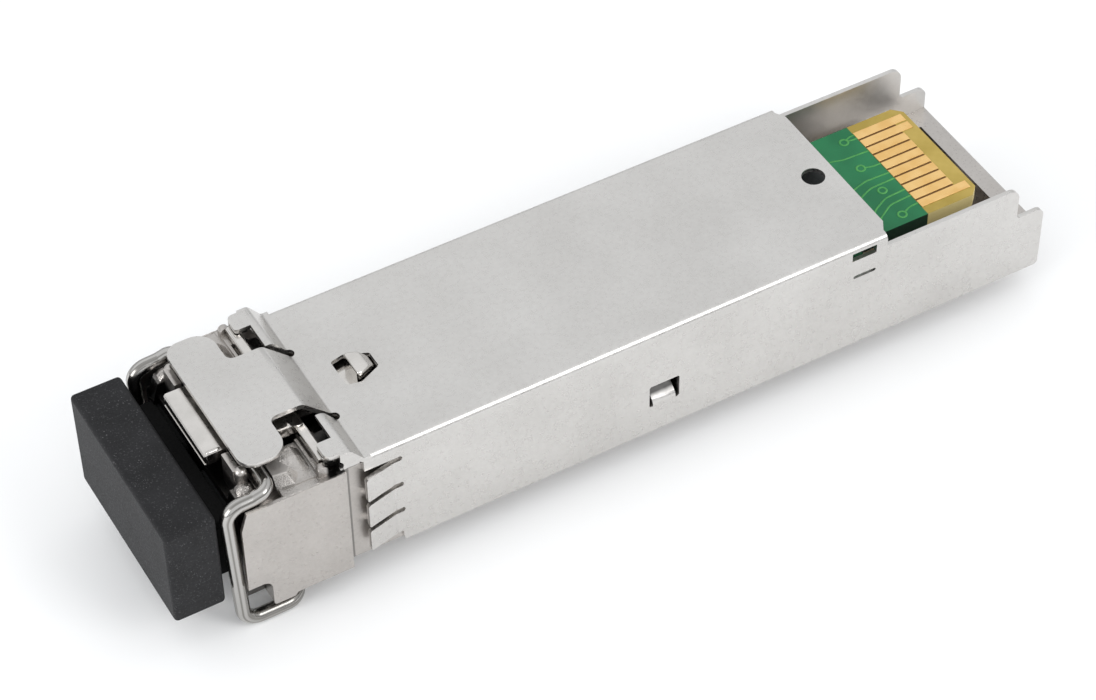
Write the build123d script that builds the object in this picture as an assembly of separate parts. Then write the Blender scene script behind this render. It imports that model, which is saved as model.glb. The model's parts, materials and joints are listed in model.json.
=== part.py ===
"""Pluggable fibre transceiver with a wire bail, a rocking latch lever and a rubber dust plug.

Lengths are millimetres. While the pieces are drawn, X runs from the nose towards the card edge,
Y runs across the body and Z is height above the flat face that the body lies on.
Everything is moved to the part's own origin on export.
"""
import os
from math import atan2, cos, degrees, hypot, radians, sin, tan

from build123d import *

os.makedirs("parts", exist_ok=True)

# Body
BODY_WIDTH = 13.4
BODY_HEIGHT = 8.4
BODY_REAR = 56.5
SHEET = 0.3
SHEET_BEND = 0.45
SEAM = 0.02
ROUND_SMALL = 0.2

# Steps and insets that tie the heights and widths to the body
NOSE_OVERHANG = 0.3
TONGUE_RISE = 1.8
LIP_RISE = 1.1
LIP_TAB_WIDTH = 1.5
NOSE_SIDE_DROP = 0.2
NOSE_CORNER_DROP = 1.5
CAVITY_DEPTH = 1.15
CORE_INSET = 1.2
LEDGE_RISE = 0.55
DECK_DROP = 0.1
POST_RISE = 1.0
RIB_RISE = 1.1
SEAT_RISE = 0.1
LUG_RISE = 0.12
LUG_LENGTH = 0.43
TRUNNION_END_CLEAR = 0.12
TRUNNION_INSET = 0.95
LEVER_SLOT_DEPTH = 0.9
LEVER_SLOT_DEEP = 1.45
REAR_WALL_DROP = 0.9
RAIL_DEPTH = 1.75
PIVOT_RISE = 0.38
BAIL_ARM_INSET = 0.7
KNEE_DROP = 0.28
SHOULDER_DROP = 0.38
LEVER_PIVOT_RISE = 0.45
LEVER_RISE = 1.0
LEVER_TAIL_DROP = 0.65
BOSS_RISE = 0.45
PLUG_SIDE_INSET = 0.5
PLUG_TOP_DROP = 0.0
BOARD_SIDE_ROOM = 0.9
BOARD_DROP = 3.15

# Shell, top face
FRONT_BEND = 8.45
OPENING_EDGE = 44.9
OPENING_SHOULDER = 44.5
OPENING_CHAMFER_IN = 5.5
OPENING_CHAMFER_OUT = 6.15
LATCH_HOLE_FRONT = 10.3
LATCH_HOLE_WAIST = 11.2
LATCH_HOLE_REAR = 12.65
LATCH_HOLE_FRONT_HALF = 1.05
LATCH_HOLE_WAIST_HALF = 1.25
LATCH_HOLE_REAR_HALF = 0.6
PROBE_HOLE_X = 43.4
PROBE_HOLE_R = 0.75

# Shell, side walls
REAR_WALL_TOP = BODY_HEIGHT - REAR_WALL_DROP
REAR_WALL_END = 54.4
REAR_STEP_TOP = 4.9
FINGER_ROOT = 10.7
FINGER_BEND = 10.3
FINGER_FLARE = 0.45
FINGER_BOTTOM = 0.8
FINGER_ROUND = 0.6
SLIT_WIDTH = 0.36
SLIT_SIDES = 8
CORNER_CUT = 0.1
SLIT_HEIGHTS = (7.13, 4.9, 2.67)
WINDOW_X = (27.6, 29.7)
WINDOW_Z = (2.2, 3.95)
WINDOW_ROOM = 0.4
CORNER_WINDOW_X = (41.95, 43.7)
CORNER_WINDOW_Z = (BODY_HEIGHT - 1.04, BODY_HEIGHT - 0.4)
LOUVRE_X = (42.1, 43.75)
LOUVRE_Z = 5.92
LOUVRE_WIDTH = 0.24

# Shell, front tongue and lips
TONGUE_TOP = BODY_HEIGHT + TONGUE_RISE
TONGUE_FRONT = 1.6
TONGUE_RISE_END = 6.65
TONGUE_NECK_HALF = 2.65
TEE_REAR = 4.55
TEE_HALF = 5.45
TEE_FRONT_ROUND = 1.0
TEE_REAR_ROUND = 1.25
TEE_NECK_ROUND = 0.5
LIP_TOP = BODY_HEIGHT + LIP_RISE
LIP_RISE_END = 7.6
LIP_NOTCH_X = 7.2
LIP_FRONT = 6.2
LIP_INNER = 3.2
LIP_TAB_INNER = BODY_WIDTH / 2 - LIP_TAB_WIDTH
LIP_OUTER = BODY_WIDTH / 2
LIP_CHEEK_FRONT = 7.0
LIP_CHEEK_REAR = 8.2
LIP_CHEEK_BOTTOM = BODY_HEIGHT - NOSE_SIDE_DROP
RELIEF_HOLE_R = 0.32
RELIEF_HOLE_Y = 2.92

# Nose casting
NOSE_WIDTH = BODY_WIDTH + 2 * NOSE_OVERHANG
NOSE_FRONT = 0.45
NOSE_REAR = 7.2
NOSE_SIDE_TOP = BODY_HEIGHT - NOSE_SIDE_DROP
NOSE_CORNER = (0.85, BODY_HEIGHT - NOSE_CORNER_DROP)
NOSE_NOTCH_X = 1.95
NOSE_NOTCH_Z = 1.8
NOSE_LUG_REAR = 3.3
NOSE_LUG_BOTTOM = -0.38
NOSE_BOTTOM = -0.13
CHEEK_SKIN = 0.25
ARM_ROOM_END = 1.8
LEG_ROOM_END = 3.5
LEG_ROOM_BOTTOM = BODY_HEIGHT - CAVITY_DEPTH
PORT_PITCH = 6.25
PORT_SIZE = 4.7
PORT_CENTRE_Z = 4.3
PORT_FLOOR_X = 8.4
CORE_FRONT = 0.75
CORE_HALF = NOSE_WIDTH / 2 - CORE_INSET
CORE_REAR = 9.4
CHANNEL_FLOOR = BODY_HEIGHT - CAVITY_DEPTH
CHANNEL_HALF = 3.4
DECK_TOP = BODY_HEIGHT + LEDGE_RISE
POST_FRONT = 1.24
POST_REAR = 1.69
POST_TOP = BODY_HEIGHT + POST_RISE
POST_INNER = 3.1
CAVITY_END = 2.15
RIB_X = 1.68
RIB_Y = 4.65
RIB_R = 0.375
RIB_TOP = BODY_HEIGHT + RIB_RISE
DECK_BASE = BODY_HEIGHT - DECK_DROP
LEDGE_SPREAD = 1.1
LEDGE_CORNERS = ((3.06, 0.15), (3.1, 1.0), (3.78, 1.22), (4.07, 0.78), (4.28, 0.31), (4.01, 0.03))
SEAT_HALF = 0.6
LUG_R = 0.32
BAR_SEAT = BODY_HEIGHT + SEAT_RISE
LUG_Z = BAR_SEAT + LUG_RISE

# Base tray
FLOOR = 0.8
RAIL_INNER = BODY_WIDTH / 2 - RAIL_DEPTH
GUIDE_END = 40.4
LEDGE_FRONT = 55.25
LEDGE_TOP = 3.17
TRAY_REAR = BODY_REAR

# Bail
WIRE_R = 0.45
WIRE_SIDES = 10
PIVOT_X = 2.65
PIVOT_Z = BODY_HEIGHT + PIVOT_RISE
CRANK_DX = 0.13
CRANK_DZ = -0.53
CRANK_INNER = 2.6
CRANK_OUTER = 3.7
BAIL_ARM_Y = NOSE_WIDTH / 2 - BAIL_ARM_INSET
BAIL_KNEE = (1.6, PIVOT_Z - KNEE_DROP)
BAIL_SHOULDER = (-0.12, PIVOT_Z - SHOULDER_DROP)
BAIL_SHOULDER_ROUND = 0.95
BAIL_CRANK_ROUND = 1.0
BAIL_ARM_ROUND = 0.62
BAIL_FOOT_ROUND = 1.1
BAIL_BAR_ROUND = 1.2
BAIL_FOOT = (0.22, -1.55)
BAIL_BAR_X = 4.15
BAIL_JOINT_GAP = 0.3
PIVOT_CLEAR = 0.08

# Latch lever
LEVER_PIVOT_X = 6.25
LEVER_PIVOT_Z = BODY_HEIGHT + LEVER_PIVOT_RISE
LEVER_FRONT = 0.33
LEVER_TOP = BODY_HEIGHT + LEVER_RISE
LEVER_THICK = 0.68
LEVER_HALF = 2.8
LEVER_NECK_HALF = 2.1
LEVER_TAIL_HALF = 1.5
LEVER_TAIL_TOP = BODY_HEIGHT - LEVER_TAIL_DROP
LEVER_SLOT_FLOOR = LEVER_TAIL_TOP - LEVER_SLOT_DEPTH
LEVER_SLOT_LOW = LEVER_TAIL_TOP - LEVER_SLOT_DEEP
LEVER_TAIL_THICK = 0.6
LEVER_TAIL_END = 12.95
TRUNNION_LENGTH = NOSE_WIDTH / 2 - TRUNNION_INSET
LUG_OUTER = TRUNNION_LENGTH + TRUNNION_END_CLEAR + LUG_LENGTH
TRUNNION_W = 0.64
TRUNNION_H = 0.56
BOSS_FRONT = 11.1
BOSS_REAR = 12.45
BOSS_TOP = BODY_HEIGHT + BOSS_RISE
BOSS_FRONT_HALF = 0.95
BOSS_REAR_HALF = 0.45

# Dust plug
PLUG_FRONT = -4.05
PLUG_BACK = -0.8
PLUG_WIDTH = NOSE_WIDTH - 2 * PLUG_SIDE_INSET
PLUG_BOTTOM = 1.05
PLUG_TOP = BODY_HEIGHT - PLUG_TOP_DROP
PLUG_ROUND = 0.2
PLUG_NECK_WIDTH = 10.6
PLUG_NECK_HEIGHT = 4.6
PLUG_NECK_END = 0.6
PRONG_SIZE = 4.4
PRONG_END = 6.5
PRONG_BORE_R = 1.62
PRONG_BORE_DEPTH = 3.4

# Optical barrels
BARREL_R = 1.45
BARREL_FRONT = 3.7
BARREL_FLANGE_X = 9.4
BARREL_FLANGE_R = 2.2
BARREL_FLANGE_T = 0.8
FERRULE_R = 0.625
FERRULE_DEPTH = 3.0
SLEEVE_WALL = 0.3
BARREL_HOLE_CLEAR = 0.05
SHIELD_T = 0.25
SHIELD_INSET = 0.6
SHIELD_TOP_ROOM = 1.2
CAN_R = 2.5
CAN_FRONT = 11.2
CAN_REAR = 15.2
HEADER_R = 2.7
HEADER_T = 0.9
LEAD_R = 0.225
LEAD_SIDES = 8
BORE_SIDES = 16
LEAD_CIRCLE = 1.27
LEAD_LENGTH = 1.5
FLEX_T = 0.15
FLEX_WIDTH = 4.4
FLEX_BEND = 0.35
FLEX_LAP = 2.2
FLEX_DROP = 2.2

# Circuit board
BOARD_BOTTOM = BODY_HEIGHT - BOARD_DROP
BOARD_T = 1.0
BOARD_END = 53.0
BOARD_TAIL_START = 43.6
BOARD_FRONT = 20.4
BOARD_TAIL_WIDTH = 9.2
BOARD_WIDTH = BODY_WIDTH - 2 * BOARD_SIDE_ROOM
BOARD_CHAMFER = 0.6
PAD_PITCH = 0.8
PAD_COUNT = 10
PAD_WIDTH = 0.68
PAD_T = 0.04
PAD_START = 49.05
PAD_SHORT = 2.62
PAD_LONG = 3.4
LONG_PADS = (0, 1, 9)

# Components on the board: centre X, centre Y, length, width, height
DRIVER_CHIP = (27.0, 2.3, 4.0, 4.0, 0.85)
RECEIVER_CHIP = (27.2, -2.6, 3.4, 3.4, 0.85)
CONTROLLER_CHIP = (35.0, 0.0, 5.0, 5.0, 0.9)
MEMORY_CHIP = (40.8, 2.6, 3.0, 2.0, 0.8)
CAPACITOR_SIZE = (1.0, 0.5, 0.5)
RESISTOR_SIZE = (1.0, 0.5, 0.35)
BEAD_SIZE = (1.6, 0.8, 0.8)

# Rows of small parts: first centre X, pitch and centre Y, and how many stand in each row
CAPACITOR_INSET = 1.2
CAPACITOR_ROW = (24.6, 1.8, BOARD_WIDTH / 2 - CAPACITOR_INSET)
CAPACITOR_FAR_ROW = (24.6, 1.8, CAPACITOR_INSET - BOARD_WIDTH / 2)
CAPACITOR_COUNT = 5
RESISTOR_ROW = (25.4, 1.7, 1.4)
RESISTOR_COUNT = 4
REAR_RESISTOR_ROW = (39.2, 1.8, -3.2)
BEAD_ROW = (39.6, 2.2, 3.6)
REAR_COUNT = 2

HALF = BODY_WIDTH / 2
INNER_HALF = HALF - SHEET
INNER_TOP = BODY_HEIGHT - SHEET
NOSE_HALF = NOSE_WIDTH / 2
BOARD_TOP = BOARD_BOTTOM + BOARD_T
ORIGIN_X = (PLUG_FRONT + BODY_REAR) / 2
ORIGIN_Z = BAIL_FOOT[1] - WIRE_R
PORT_Y = (PORT_PITCH / 2, -PORT_PITCH / 2)
REACH = 30.0


def block(x0, x1, y0, y1, z0, z1):
    """Box between two opposite corners."""
    size = (x1 - x0, y1 - y0, z1 - z0)
    centre = ((x0 + x1) / 2, (y0 + y1) / 2, (z0 + z1) / 2)
    return Pos(*centre) * Box(*size)


def both_sides(shape):
    """The shape and its mirror image across the middle plane of the body."""
    return shape + mirror(shape, about=Plane.XZ)


def outline(points, rounds=()):
    """Closed flat outline with chosen corners rounded; rounds holds (corner point, radius)."""
    face = make_face(Polyline(*points, close=True))
    for corner, radius in rounds:
        nearest = face.vertices().sort_by_distance(Vector(corner[0], corner[1], 0))[0]
        face = fillet(nearest, radius)
    return face


def side_prism(face, y0, y1):
    """Outline drawn as (X, Z), made solid between two places across the body."""
    return extrude(Plane.XZ.offset(-y1) * face, amount=y1 - y0)


def plan_prism(face, z0, z1):
    """Outline drawn as (X, Y), made solid between two heights."""
    return extrude(Plane.XY.offset(z0) * face, amount=z1 - z0)


def cross_prism(face, x0, x1):
    """Outline drawn as (Y, Z), made solid between two places along the body."""
    return extrude(Plane.YZ.offset(x0) * face, amount=x1 - x0)


def across(radius, x, z, y0, y1):
    """Round bar or hole running across the body."""
    return Pos(x, (y0 + y1) / 2, z) * Rot(90, 0, 0) * Cylinder(radius, y1 - y0)


def along(radius, y, z, x0, x1):
    """Round bar or hole running along the body."""
    return Pos((x0 + x1) / 2, y, z) * Rot(0, 90, 0) * Cylinder(radius, x1 - x0)


def faceted(radius, sides, y, z, x0, x1):
    """Small round along the body, drawn with flat sides to keep its mesh light."""
    return cross_prism(Pos(y, z) * RegularPolygon(radius, sides), x0, x1)


def bent_strip(points, radius, y0, y1):
    """Sheet folded along a path of (X, Z) points that gives the middle of its thickness."""
    path = FilletPolyline(*points, radius=radius)
    return side_prism(trace(path, SHEET), y0, y1)


def channel():
    """The folded top and side walls before any cut."""
    outer = block(FRONT_BEND, BODY_REAR, -HALF, HALF, 0, BODY_HEIGHT)
    edges = outer.edges().filter_by(Axis.X).group_by(Axis.Z)[-1]
    outer = fillet(edges, SHEET_BEND)
    inner = block(FRONT_BEND - 1, BODY_REAR + 1, -INNER_HALF, INNER_HALF, -1, INNER_TOP)
    edges = inner.edges().filter_by(Axis.X).group_by(Axis.Z)[-1]
    inner = fillet(edges, SHEET_BEND - SHEET)
    return outer - inner


def wall_outline():
    """Side view of the shell with its stepped rear end and raised front foot."""
    points = (
        (FRONT_BEND - 1, FINGER_BOTTOM),
        (FINGER_ROOT - 0.1, FINGER_BOTTOM),
        (FINGER_ROOT + 0.1, 0),
        (BODY_REAR, 0),
        (BODY_REAR, REAR_STEP_TOP),
        (REAR_WALL_END, REAR_STEP_TOP),
        (REAR_WALL_END, REAR_WALL_TOP),
        (OPENING_EDGE, REAR_WALL_TOP),
        (OPENING_EDGE, BODY_HEIGHT + 1),
        (FRONT_BEND - 1, BODY_HEIGHT + 1),
    )
    rounds = (
        ((BODY_REAR, 0), 0.3),
        ((BODY_REAR, REAR_STEP_TOP), 0.6),
        ((REAR_WALL_END, REAR_STEP_TOP), 0.3),
        ((REAR_WALL_END, REAR_WALL_TOP), 0.8),
    )
    return outline(points, rounds)


def opening_corner():
    """Cut that sets the opening edge back beside each side wall."""
    points = (
        (OPENING_EDGE, OPENING_CHAMFER_IN),
        (OPENING_SHOULDER, OPENING_CHAMFER_OUT),
        (OPENING_SHOULDER, HALF + 1),
        (OPENING_EDGE + 1, HALF + 1),
        (OPENING_EDGE + 1, OPENING_CHAMFER_IN),
    )
    return plan_prism(outline(points), REAR_WALL_TOP, BODY_HEIGHT + 1)


def latch_hole():
    """Six sided hole that the latch boss stands through."""
    points = (
        (LATCH_HOLE_FRONT, LATCH_HOLE_FRONT_HALF),
        (LATCH_HOLE_WAIST, LATCH_HOLE_WAIST_HALF),
        (LATCH_HOLE_REAR, LATCH_HOLE_REAR_HALF),
        (LATCH_HOLE_REAR, -LATCH_HOLE_REAR_HALF),
        (LATCH_HOLE_WAIST, -LATCH_HOLE_WAIST_HALF),
        (LATCH_HOLE_FRONT, -LATCH_HOLE_FRONT_HALF),
    )
    rounds = [(point, ROUND_SMALL) for point in points]
    return plan_prism(outline(points, rounds), INNER_TOP - 1, BODY_HEIGHT + 1)


def side_windows():
    """Punched windows and the louvre slit in one side wall."""
    y0 = INNER_HALF - SHEET
    y1 = HALF + 1
    window = block(*WINDOW_X, y0, y1, *WINDOW_Z)
    window = chamfer(window.edges().filter_by(Axis.Y), CORNER_CUT)
    corner = block(*CORNER_WINDOW_X, y0, y1, *CORNER_WINDOW_Z)
    louvre = block(*LOUVRE_X, y0, y1, LOUVRE_Z - LOUVRE_WIDTH / 2, LOUVRE_Z + LOUVRE_WIDTH / 2)
    louvre = chamfer(louvre.edges().filter_by(Axis.Y), CORNER_CUT)
    return window + corner + louvre


def window_tab():
    """Small tab pressed inwards from the lower edge of the side window."""
    inset = 0.25
    x0 = WINDOW_X[0] + inset
    x1 = WINDOW_X[1] - inset
    middle = HALF - SHEET / 2
    path = (
        (middle, WINDOW_Z[0] - inset),
        (middle, WINDOW_Z[0] + inset),
        (middle - 0.9, WINDOW_Z[0] + 1.05),
    )
    strip = trace(FilletPolyline(*path, radius=0.4), SHEET)
    return cross_prism(strip, x0, x1)


def side_fingers():
    """Contact fingers of one side wall, flared outwards at their front ends."""
    tip = FRONT_BEND - 0.1
    top = SLIT_HEIGHTS[0]
    middle = HALF - SHEET / 2
    path = (
        (FINGER_ROOT + 0.2, middle),
        (FINGER_BEND, middle),
        (tip - 1, middle + FINGER_FLARE * (FINGER_BEND - tip + 1) / (FINGER_BEND - tip)),
    )
    band = plan_prism(trace(FilletPolyline(*path, radius=FINGER_ROUND), SHEET), 0, top)
    heights = SLIT_HEIGHTS + (FINGER_BOTTOM - SLIT_WIDTH / 2,)
    fingers = Part()
    for upper, lower in zip(heights[:-1], heights[1:]):
        z1 = upper - SLIT_WIDTH / 2
        z0 = lower + SLIT_WIDTH / 2
        points = (
            (tip, z0 + CORNER_CUT),
            (tip + CORNER_CUT, z0),
            (FINGER_ROOT + 0.1, z0),
            (FINGER_ROOT + 0.1, z1),
            (tip + CORNER_CUT, z1),
            (tip, z1 - CORNER_CUT),
        )
        fingers += band & side_prism(outline(points), INNER_HALF - 1, HALF + 2)
    return fingers


def finger_slits():
    """Slits between the fingers, each with a small relief at its closed end."""
    slits = Part()
    for height in SLIT_HEIGHTS:
        slot = block(FRONT_BEND - 1, FINGER_ROOT, INNER_HALF - 1, HALF + 1,
                     height - SLIT_WIDTH / 2, height + SLIT_WIDTH / 2)
        end = Pos(FINGER_ROOT, height) * RegularPolygon(SLIT_WIDTH / 2 + 0.03, SLIT_SIDES)
        slits += slot + side_prism(end, INNER_HALF - 1, HALF + 1)
    return slits


def strip_path(top, rise_end, front):
    """Middle line of a front strip that climbs from the top face and then runs level."""
    lower = BODY_HEIGHT - SHEET / 2
    upper = top - SHEET / 2
    return ((FRONT_BEND + 0.5, lower), (FRONT_BEND, lower), (rise_end, upper), (front, upper))


def tongue():
    """Sprung tongue with the T shaped plate that traps the bail."""
    path = strip_path(TONGUE_TOP, TONGUE_RISE_END, TONGUE_FRONT)
    strip = bent_strip(path, 0.5, -TEE_HALF - 1, TEE_HALF + 1)
    half = (
        (FRONT_BEND + 0.5, TONGUE_NECK_HALF),
        (TEE_REAR, TONGUE_NECK_HALF),
        (TEE_REAR, TEE_HALF),
        (TONGUE_FRONT, TEE_HALF),
    )
    points = half + tuple((x, -y) for x, y in reversed(half))
    rounds = []
    for side in (1, -1):
        rounds.append(((TONGUE_FRONT, side * TEE_HALF), TEE_FRONT_ROUND))
        rounds.append(((TEE_REAR, side * TEE_HALF), TEE_REAR_ROUND))
        rounds.append(((TEE_REAR, side * TONGUE_NECK_HALF), TEE_NECK_ROUND))
    return strip & plan_prism(outline(points, rounds), 0, TONGUE_TOP + 1)


def lip():
    """Raised front lip on one side of the tongue, with its short side cheek."""
    path = strip_path(LIP_TOP, LIP_RISE_END, LIP_FRONT)
    strip = bent_strip(path, 0.45, LIP_INNER, LIP_OUTER)
    points = (
        (FRONT_BEND + 0.5, LIP_INNER),
        (LIP_NOTCH_X, LIP_INNER),
        (LIP_NOTCH_X, LIP_TAB_INNER),
        (LIP_FRONT, LIP_TAB_INNER),
        (LIP_FRONT, LIP_OUTER - SHEET / 2),
        (LIP_CHEEK_FRONT, LIP_OUTER - SHEET / 2),
        (LIP_CHEEK_FRONT, LIP_OUTER),
        (FRONT_BEND + 0.5, LIP_OUTER),
    )
    rounds = (
        ((LIP_FRONT, LIP_TAB_INNER), ROUND_SMALL),
        ((LIP_FRONT, LIP_OUTER - SHEET / 2), 0.45),
    )
    plate = strip & plan_prism(outline(points, rounds), 0, LIP_TOP + 1)
    cheek_points = (
        (LIP_CHEEK_FRONT, LIP_CHEEK_BOTTOM),
        (LIP_CHEEK_REAR, LIP_CHEEK_BOTTOM),
        (LIP_CHEEK_REAR, BODY_HEIGHT + 0.1),
        (LIP_RISE_END, LIP_TOP - SHEET / 2),
        (LIP_CHEEK_FRONT, LIP_TOP - SHEET / 2),
    )
    cheek = side_prism(outline(cheek_points), LIP_OUTER - SHEET, LIP_OUTER)
    cheek -= across(0.4, LIP_CHEEK_FRONT - 0.2, LIP_CHEEK_BOTTOM + 0.35, 0, NOSE_WIDTH)
    corner_cut = block(LIP_CHEEK_FRONT - 2, FRONT_BEND, LIP_OUTER - SHEET_BEND / 2,
                       LIP_OUTER + 1, LIP_TOP - 0.02, LIP_TOP + 1)
    return plate + cheek - corner_cut


def shell():
    body = channel() & side_prism(wall_outline(), -HALF - 1, HALF + 1)
    body -= both_sides(opening_corner() + side_windows() + finger_slits())
    clear = block(FRONT_BEND - 1, FINGER_ROOT, INNER_HALF - 1, HALF + 1, -1, SLIT_HEIGHTS[0])
    body -= both_sides(clear)
    body -= latch_hole()
    body -= Pos(PROBE_HOLE_X, 0, BODY_HEIGHT) * Cylinder(PROBE_HOLE_R, 2)
    body += both_sides(side_fingers() + window_tab() + lip())
    body += tongue()
    for side in (1, -1):
        hole = Pos(FRONT_BEND + 0.08, side * RELIEF_HOLE_Y, BODY_HEIGHT)
        body -= hole * Cylinder(RELIEF_HOLE_R, 1.4)
    return body


def nose_side_outline():
    """Side view of the cast nose with its clipped front corner, lower notch and lug."""
    points = (
        (NOSE_FRONT, NOSE_NOTCH_Z),
        (NOSE_NOTCH_X, NOSE_NOTCH_Z),
        (NOSE_NOTCH_X, NOSE_LUG_BOTTOM),
        (NOSE_LUG_REAR, NOSE_LUG_BOTTOM),
        (NOSE_LUG_REAR + 0.2, NOSE_BOTTOM),
        (NOSE_REAR, NOSE_BOTTOM),
        (NOSE_REAR, NOSE_SIDE_TOP),
        (NOSE_CORNER[0], NOSE_SIDE_TOP),
        (NOSE_FRONT, NOSE_CORNER[1]),
    )
    rounds = (
        ((NOSE_NOTCH_X, NOSE_NOTCH_Z), 0.6),
        ((NOSE_NOTCH_X, NOSE_LUG_BOTTOM), ROUND_SMALL),
    )
    return outline(points, rounds)


def nose_side():
    """One side of the nose: the outer skin, and the block behind the bail's arm."""
    side = side_prism(nose_side_outline(), CORE_HALF - 1, NOSE_HALF)
    arm_room = block(NOSE_FRONT - 1, ARM_ROOM_END, CORE_HALF, NOSE_HALF - CHEEK_SKIN, -1, 12)
    leg_room = block(NOSE_FRONT - 1, LEG_ROOM_END, CORE_HALF - 0.25, NOSE_HALF - CHEEK_SKIN,
                     LEG_ROOM_BOTTOM, 12)
    corner_room = block(NOSE_FRONT - 1, 1.9, CORE_HALF, NOSE_HALF - CHEEK_SKIN, -1, 0.6)
    deck = block(LEG_ROOM_END, NOSE_REAR + 0.3, CORE_HALF - 1, INNER_HALF, 6, DECK_BASE)
    neck = block(NOSE_REAR - 0.5, CORE_REAR, CORE_HALF - 1, INNER_HALF, 0, INNER_TOP - SHEET)
    return side + deck + neck - arm_room - leg_room - corner_room


def port_cuts():
    """Two square fibre ports with a keyway below each, and the barrel holes behind them."""
    cuts = Part()
    reach = PORT_SIZE / 2
    for y in PORT_Y:
        z0 = PORT_CENTRE_Z - reach
        cuts += block(-1, PORT_FLOOR_X, y - reach, y + reach, z0, z0 + PORT_SIZE)
        cuts += block(-1, PORT_FLOOR_X - 2.4, y - 1.2, y + 1.2, z0 - 0.9, z0 + 1)
        cuts += along(BARREL_R + BARREL_HOLE_CLEAR, y, PORT_CENTRE_Z, PORT_FLOOR_X - 1, CORE_REAR + 1)
    return cuts


def nose_core():
    """Middle of the nose that holds the ports, below the lever's channel."""
    core = block(NOSE_REAR - 0.5, CORE_REAR, -CORE_HALF, CORE_HALF, 0, INNER_TOP)
    core += block(CORE_FRONT, NOSE_REAR, -CORE_HALF, CORE_HALF, NOSE_BOTTOM, INNER_TOP)
    core += block(CAVITY_END, NOSE_REAR + 0.3, -CORE_HALF, CORE_HALF, 6, DECK_BASE)
    core -= block(-1, NOSE_REAR + 3, -CHANNEL_HALF, CHANNEL_HALF, CHANNEL_FLOOR, 12)
    core -= block(-1, CAVITY_END, -CORE_HALF - 1, CORE_HALF + 1, CHANNEL_FLOOR, 12)
    return core


def deck_details():
    """Raised cast ledge behind the bail's pivot, and a seat and lug for the lever's bar."""
    top = [(x, CORE_HALF - inset) for x, inset in LEDGE_CORNERS]
    middle_x = sum(x for x, y in top) / len(top)
    middle_y = sum(y for x, y in top) / len(top)
    foot = [(x + (x - middle_x) * LEDGE_SPREAD, y + (y - middle_y) * LEDGE_SPREAD) for x, y in top]
    ledge = loft([Plane.XY.offset(DECK_BASE - 0.1) * outline(foot),
                  Plane.XY.offset(DECK_TOP) * outline(top)])
    ledge &= block(PIVOT_X + WIRE_R + PIVOT_CLEAR, NOSE_REAR, CHANNEL_HALF,
                   NOSE_HALF - CHEEK_SKIN, 0, DECK_TOP + 1)
    seat = block(LEVER_PIVOT_X - SEAT_HALF, LEVER_PIVOT_X + SEAT_HALF, CHANNEL_HALF,
                 TRUNNION_LENGTH + TRUNNION_END_CLEAR, DECK_BASE - 0.5, BAR_SEAT)
    lug_start = TRUNNION_LENGTH + TRUNNION_END_CLEAR
    lug = across(LUG_R, LEVER_PIVOT_X - 0.3, LUG_Z, lug_start, LUG_OUTER)
    lug += block(LEVER_PIVOT_X - 0.3 - LUG_R, LEVER_PIVOT_X - 0.3 + LUG_R,
                 lug_start, LUG_OUTER, DECK_BASE - 0.5, LUG_Z)
    return both_sides(ledge + seat + lug)


def front_posts():
    """Upright walls in front of the bail's pivot, rounded at their outer ends."""
    bottom = CHANNEL_FLOOR - 0.5
    wall = block(POST_FRONT, POST_REAR, POST_INNER, RIB_Y, bottom, POST_TOP)
    straight = RIB_TOP - RIB_R - bottom
    rib = Pos(RIB_X, RIB_Y, bottom + straight / 2) * Cylinder(RIB_R, straight)
    rib += Pos(RIB_X, RIB_Y, RIB_TOP - RIB_R) * Sphere(RIB_R)
    return both_sides(wall + rib)


def pivot_groove():
    """Open groove that the bail's upper wire turns in, widened for its crank."""
    radius = WIRE_R + PIVOT_CLEAR
    crank = CRANK_OUTER + 0.2
    groove = across(radius, PIVOT_X, PIVOT_Z, -CORE_HALF - 1, CORE_HALF + 1)
    groove += block(PIVOT_X - radius, PIVOT_X + radius, -CORE_HALF - 1, CORE_HALF + 1,
                    PIVOT_Z, 12)
    return groove + block(PIVOT_X - radius, PIVOT_X + radius + CRANK_DX, -crank, crank,
                          CHANNEL_FLOOR, 12)


def trunnion_recess():
    """Pockets for the lever's pivot bar and the round relief at their outer ends."""
    width = TRUNNION_W / 2 + 0.12
    bar = block(LEVER_PIVOT_X - width, LEVER_PIVOT_X + width, 0,
                TRUNNION_LENGTH + TRUNNION_END_CLEAR,
                BAR_SEAT, 12)
    slope = outline(((4.9, DECK_TOP + 0.1), (LEVER_PIVOT_X, BAR_SEAT - 0.25),
                     (LEVER_PIVOT_X, DECK_TOP + 0.1)))
    front = side_prism(slope, 0, LIP_TAB_INNER)
    relief = across(0.45, LEVER_PIVOT_X + 0.6, BAR_SEAT + 0.1, TRUNNION_LENGTH, NOSE_HALF + 1)
    return both_sides(bar + front + relief)


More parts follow.
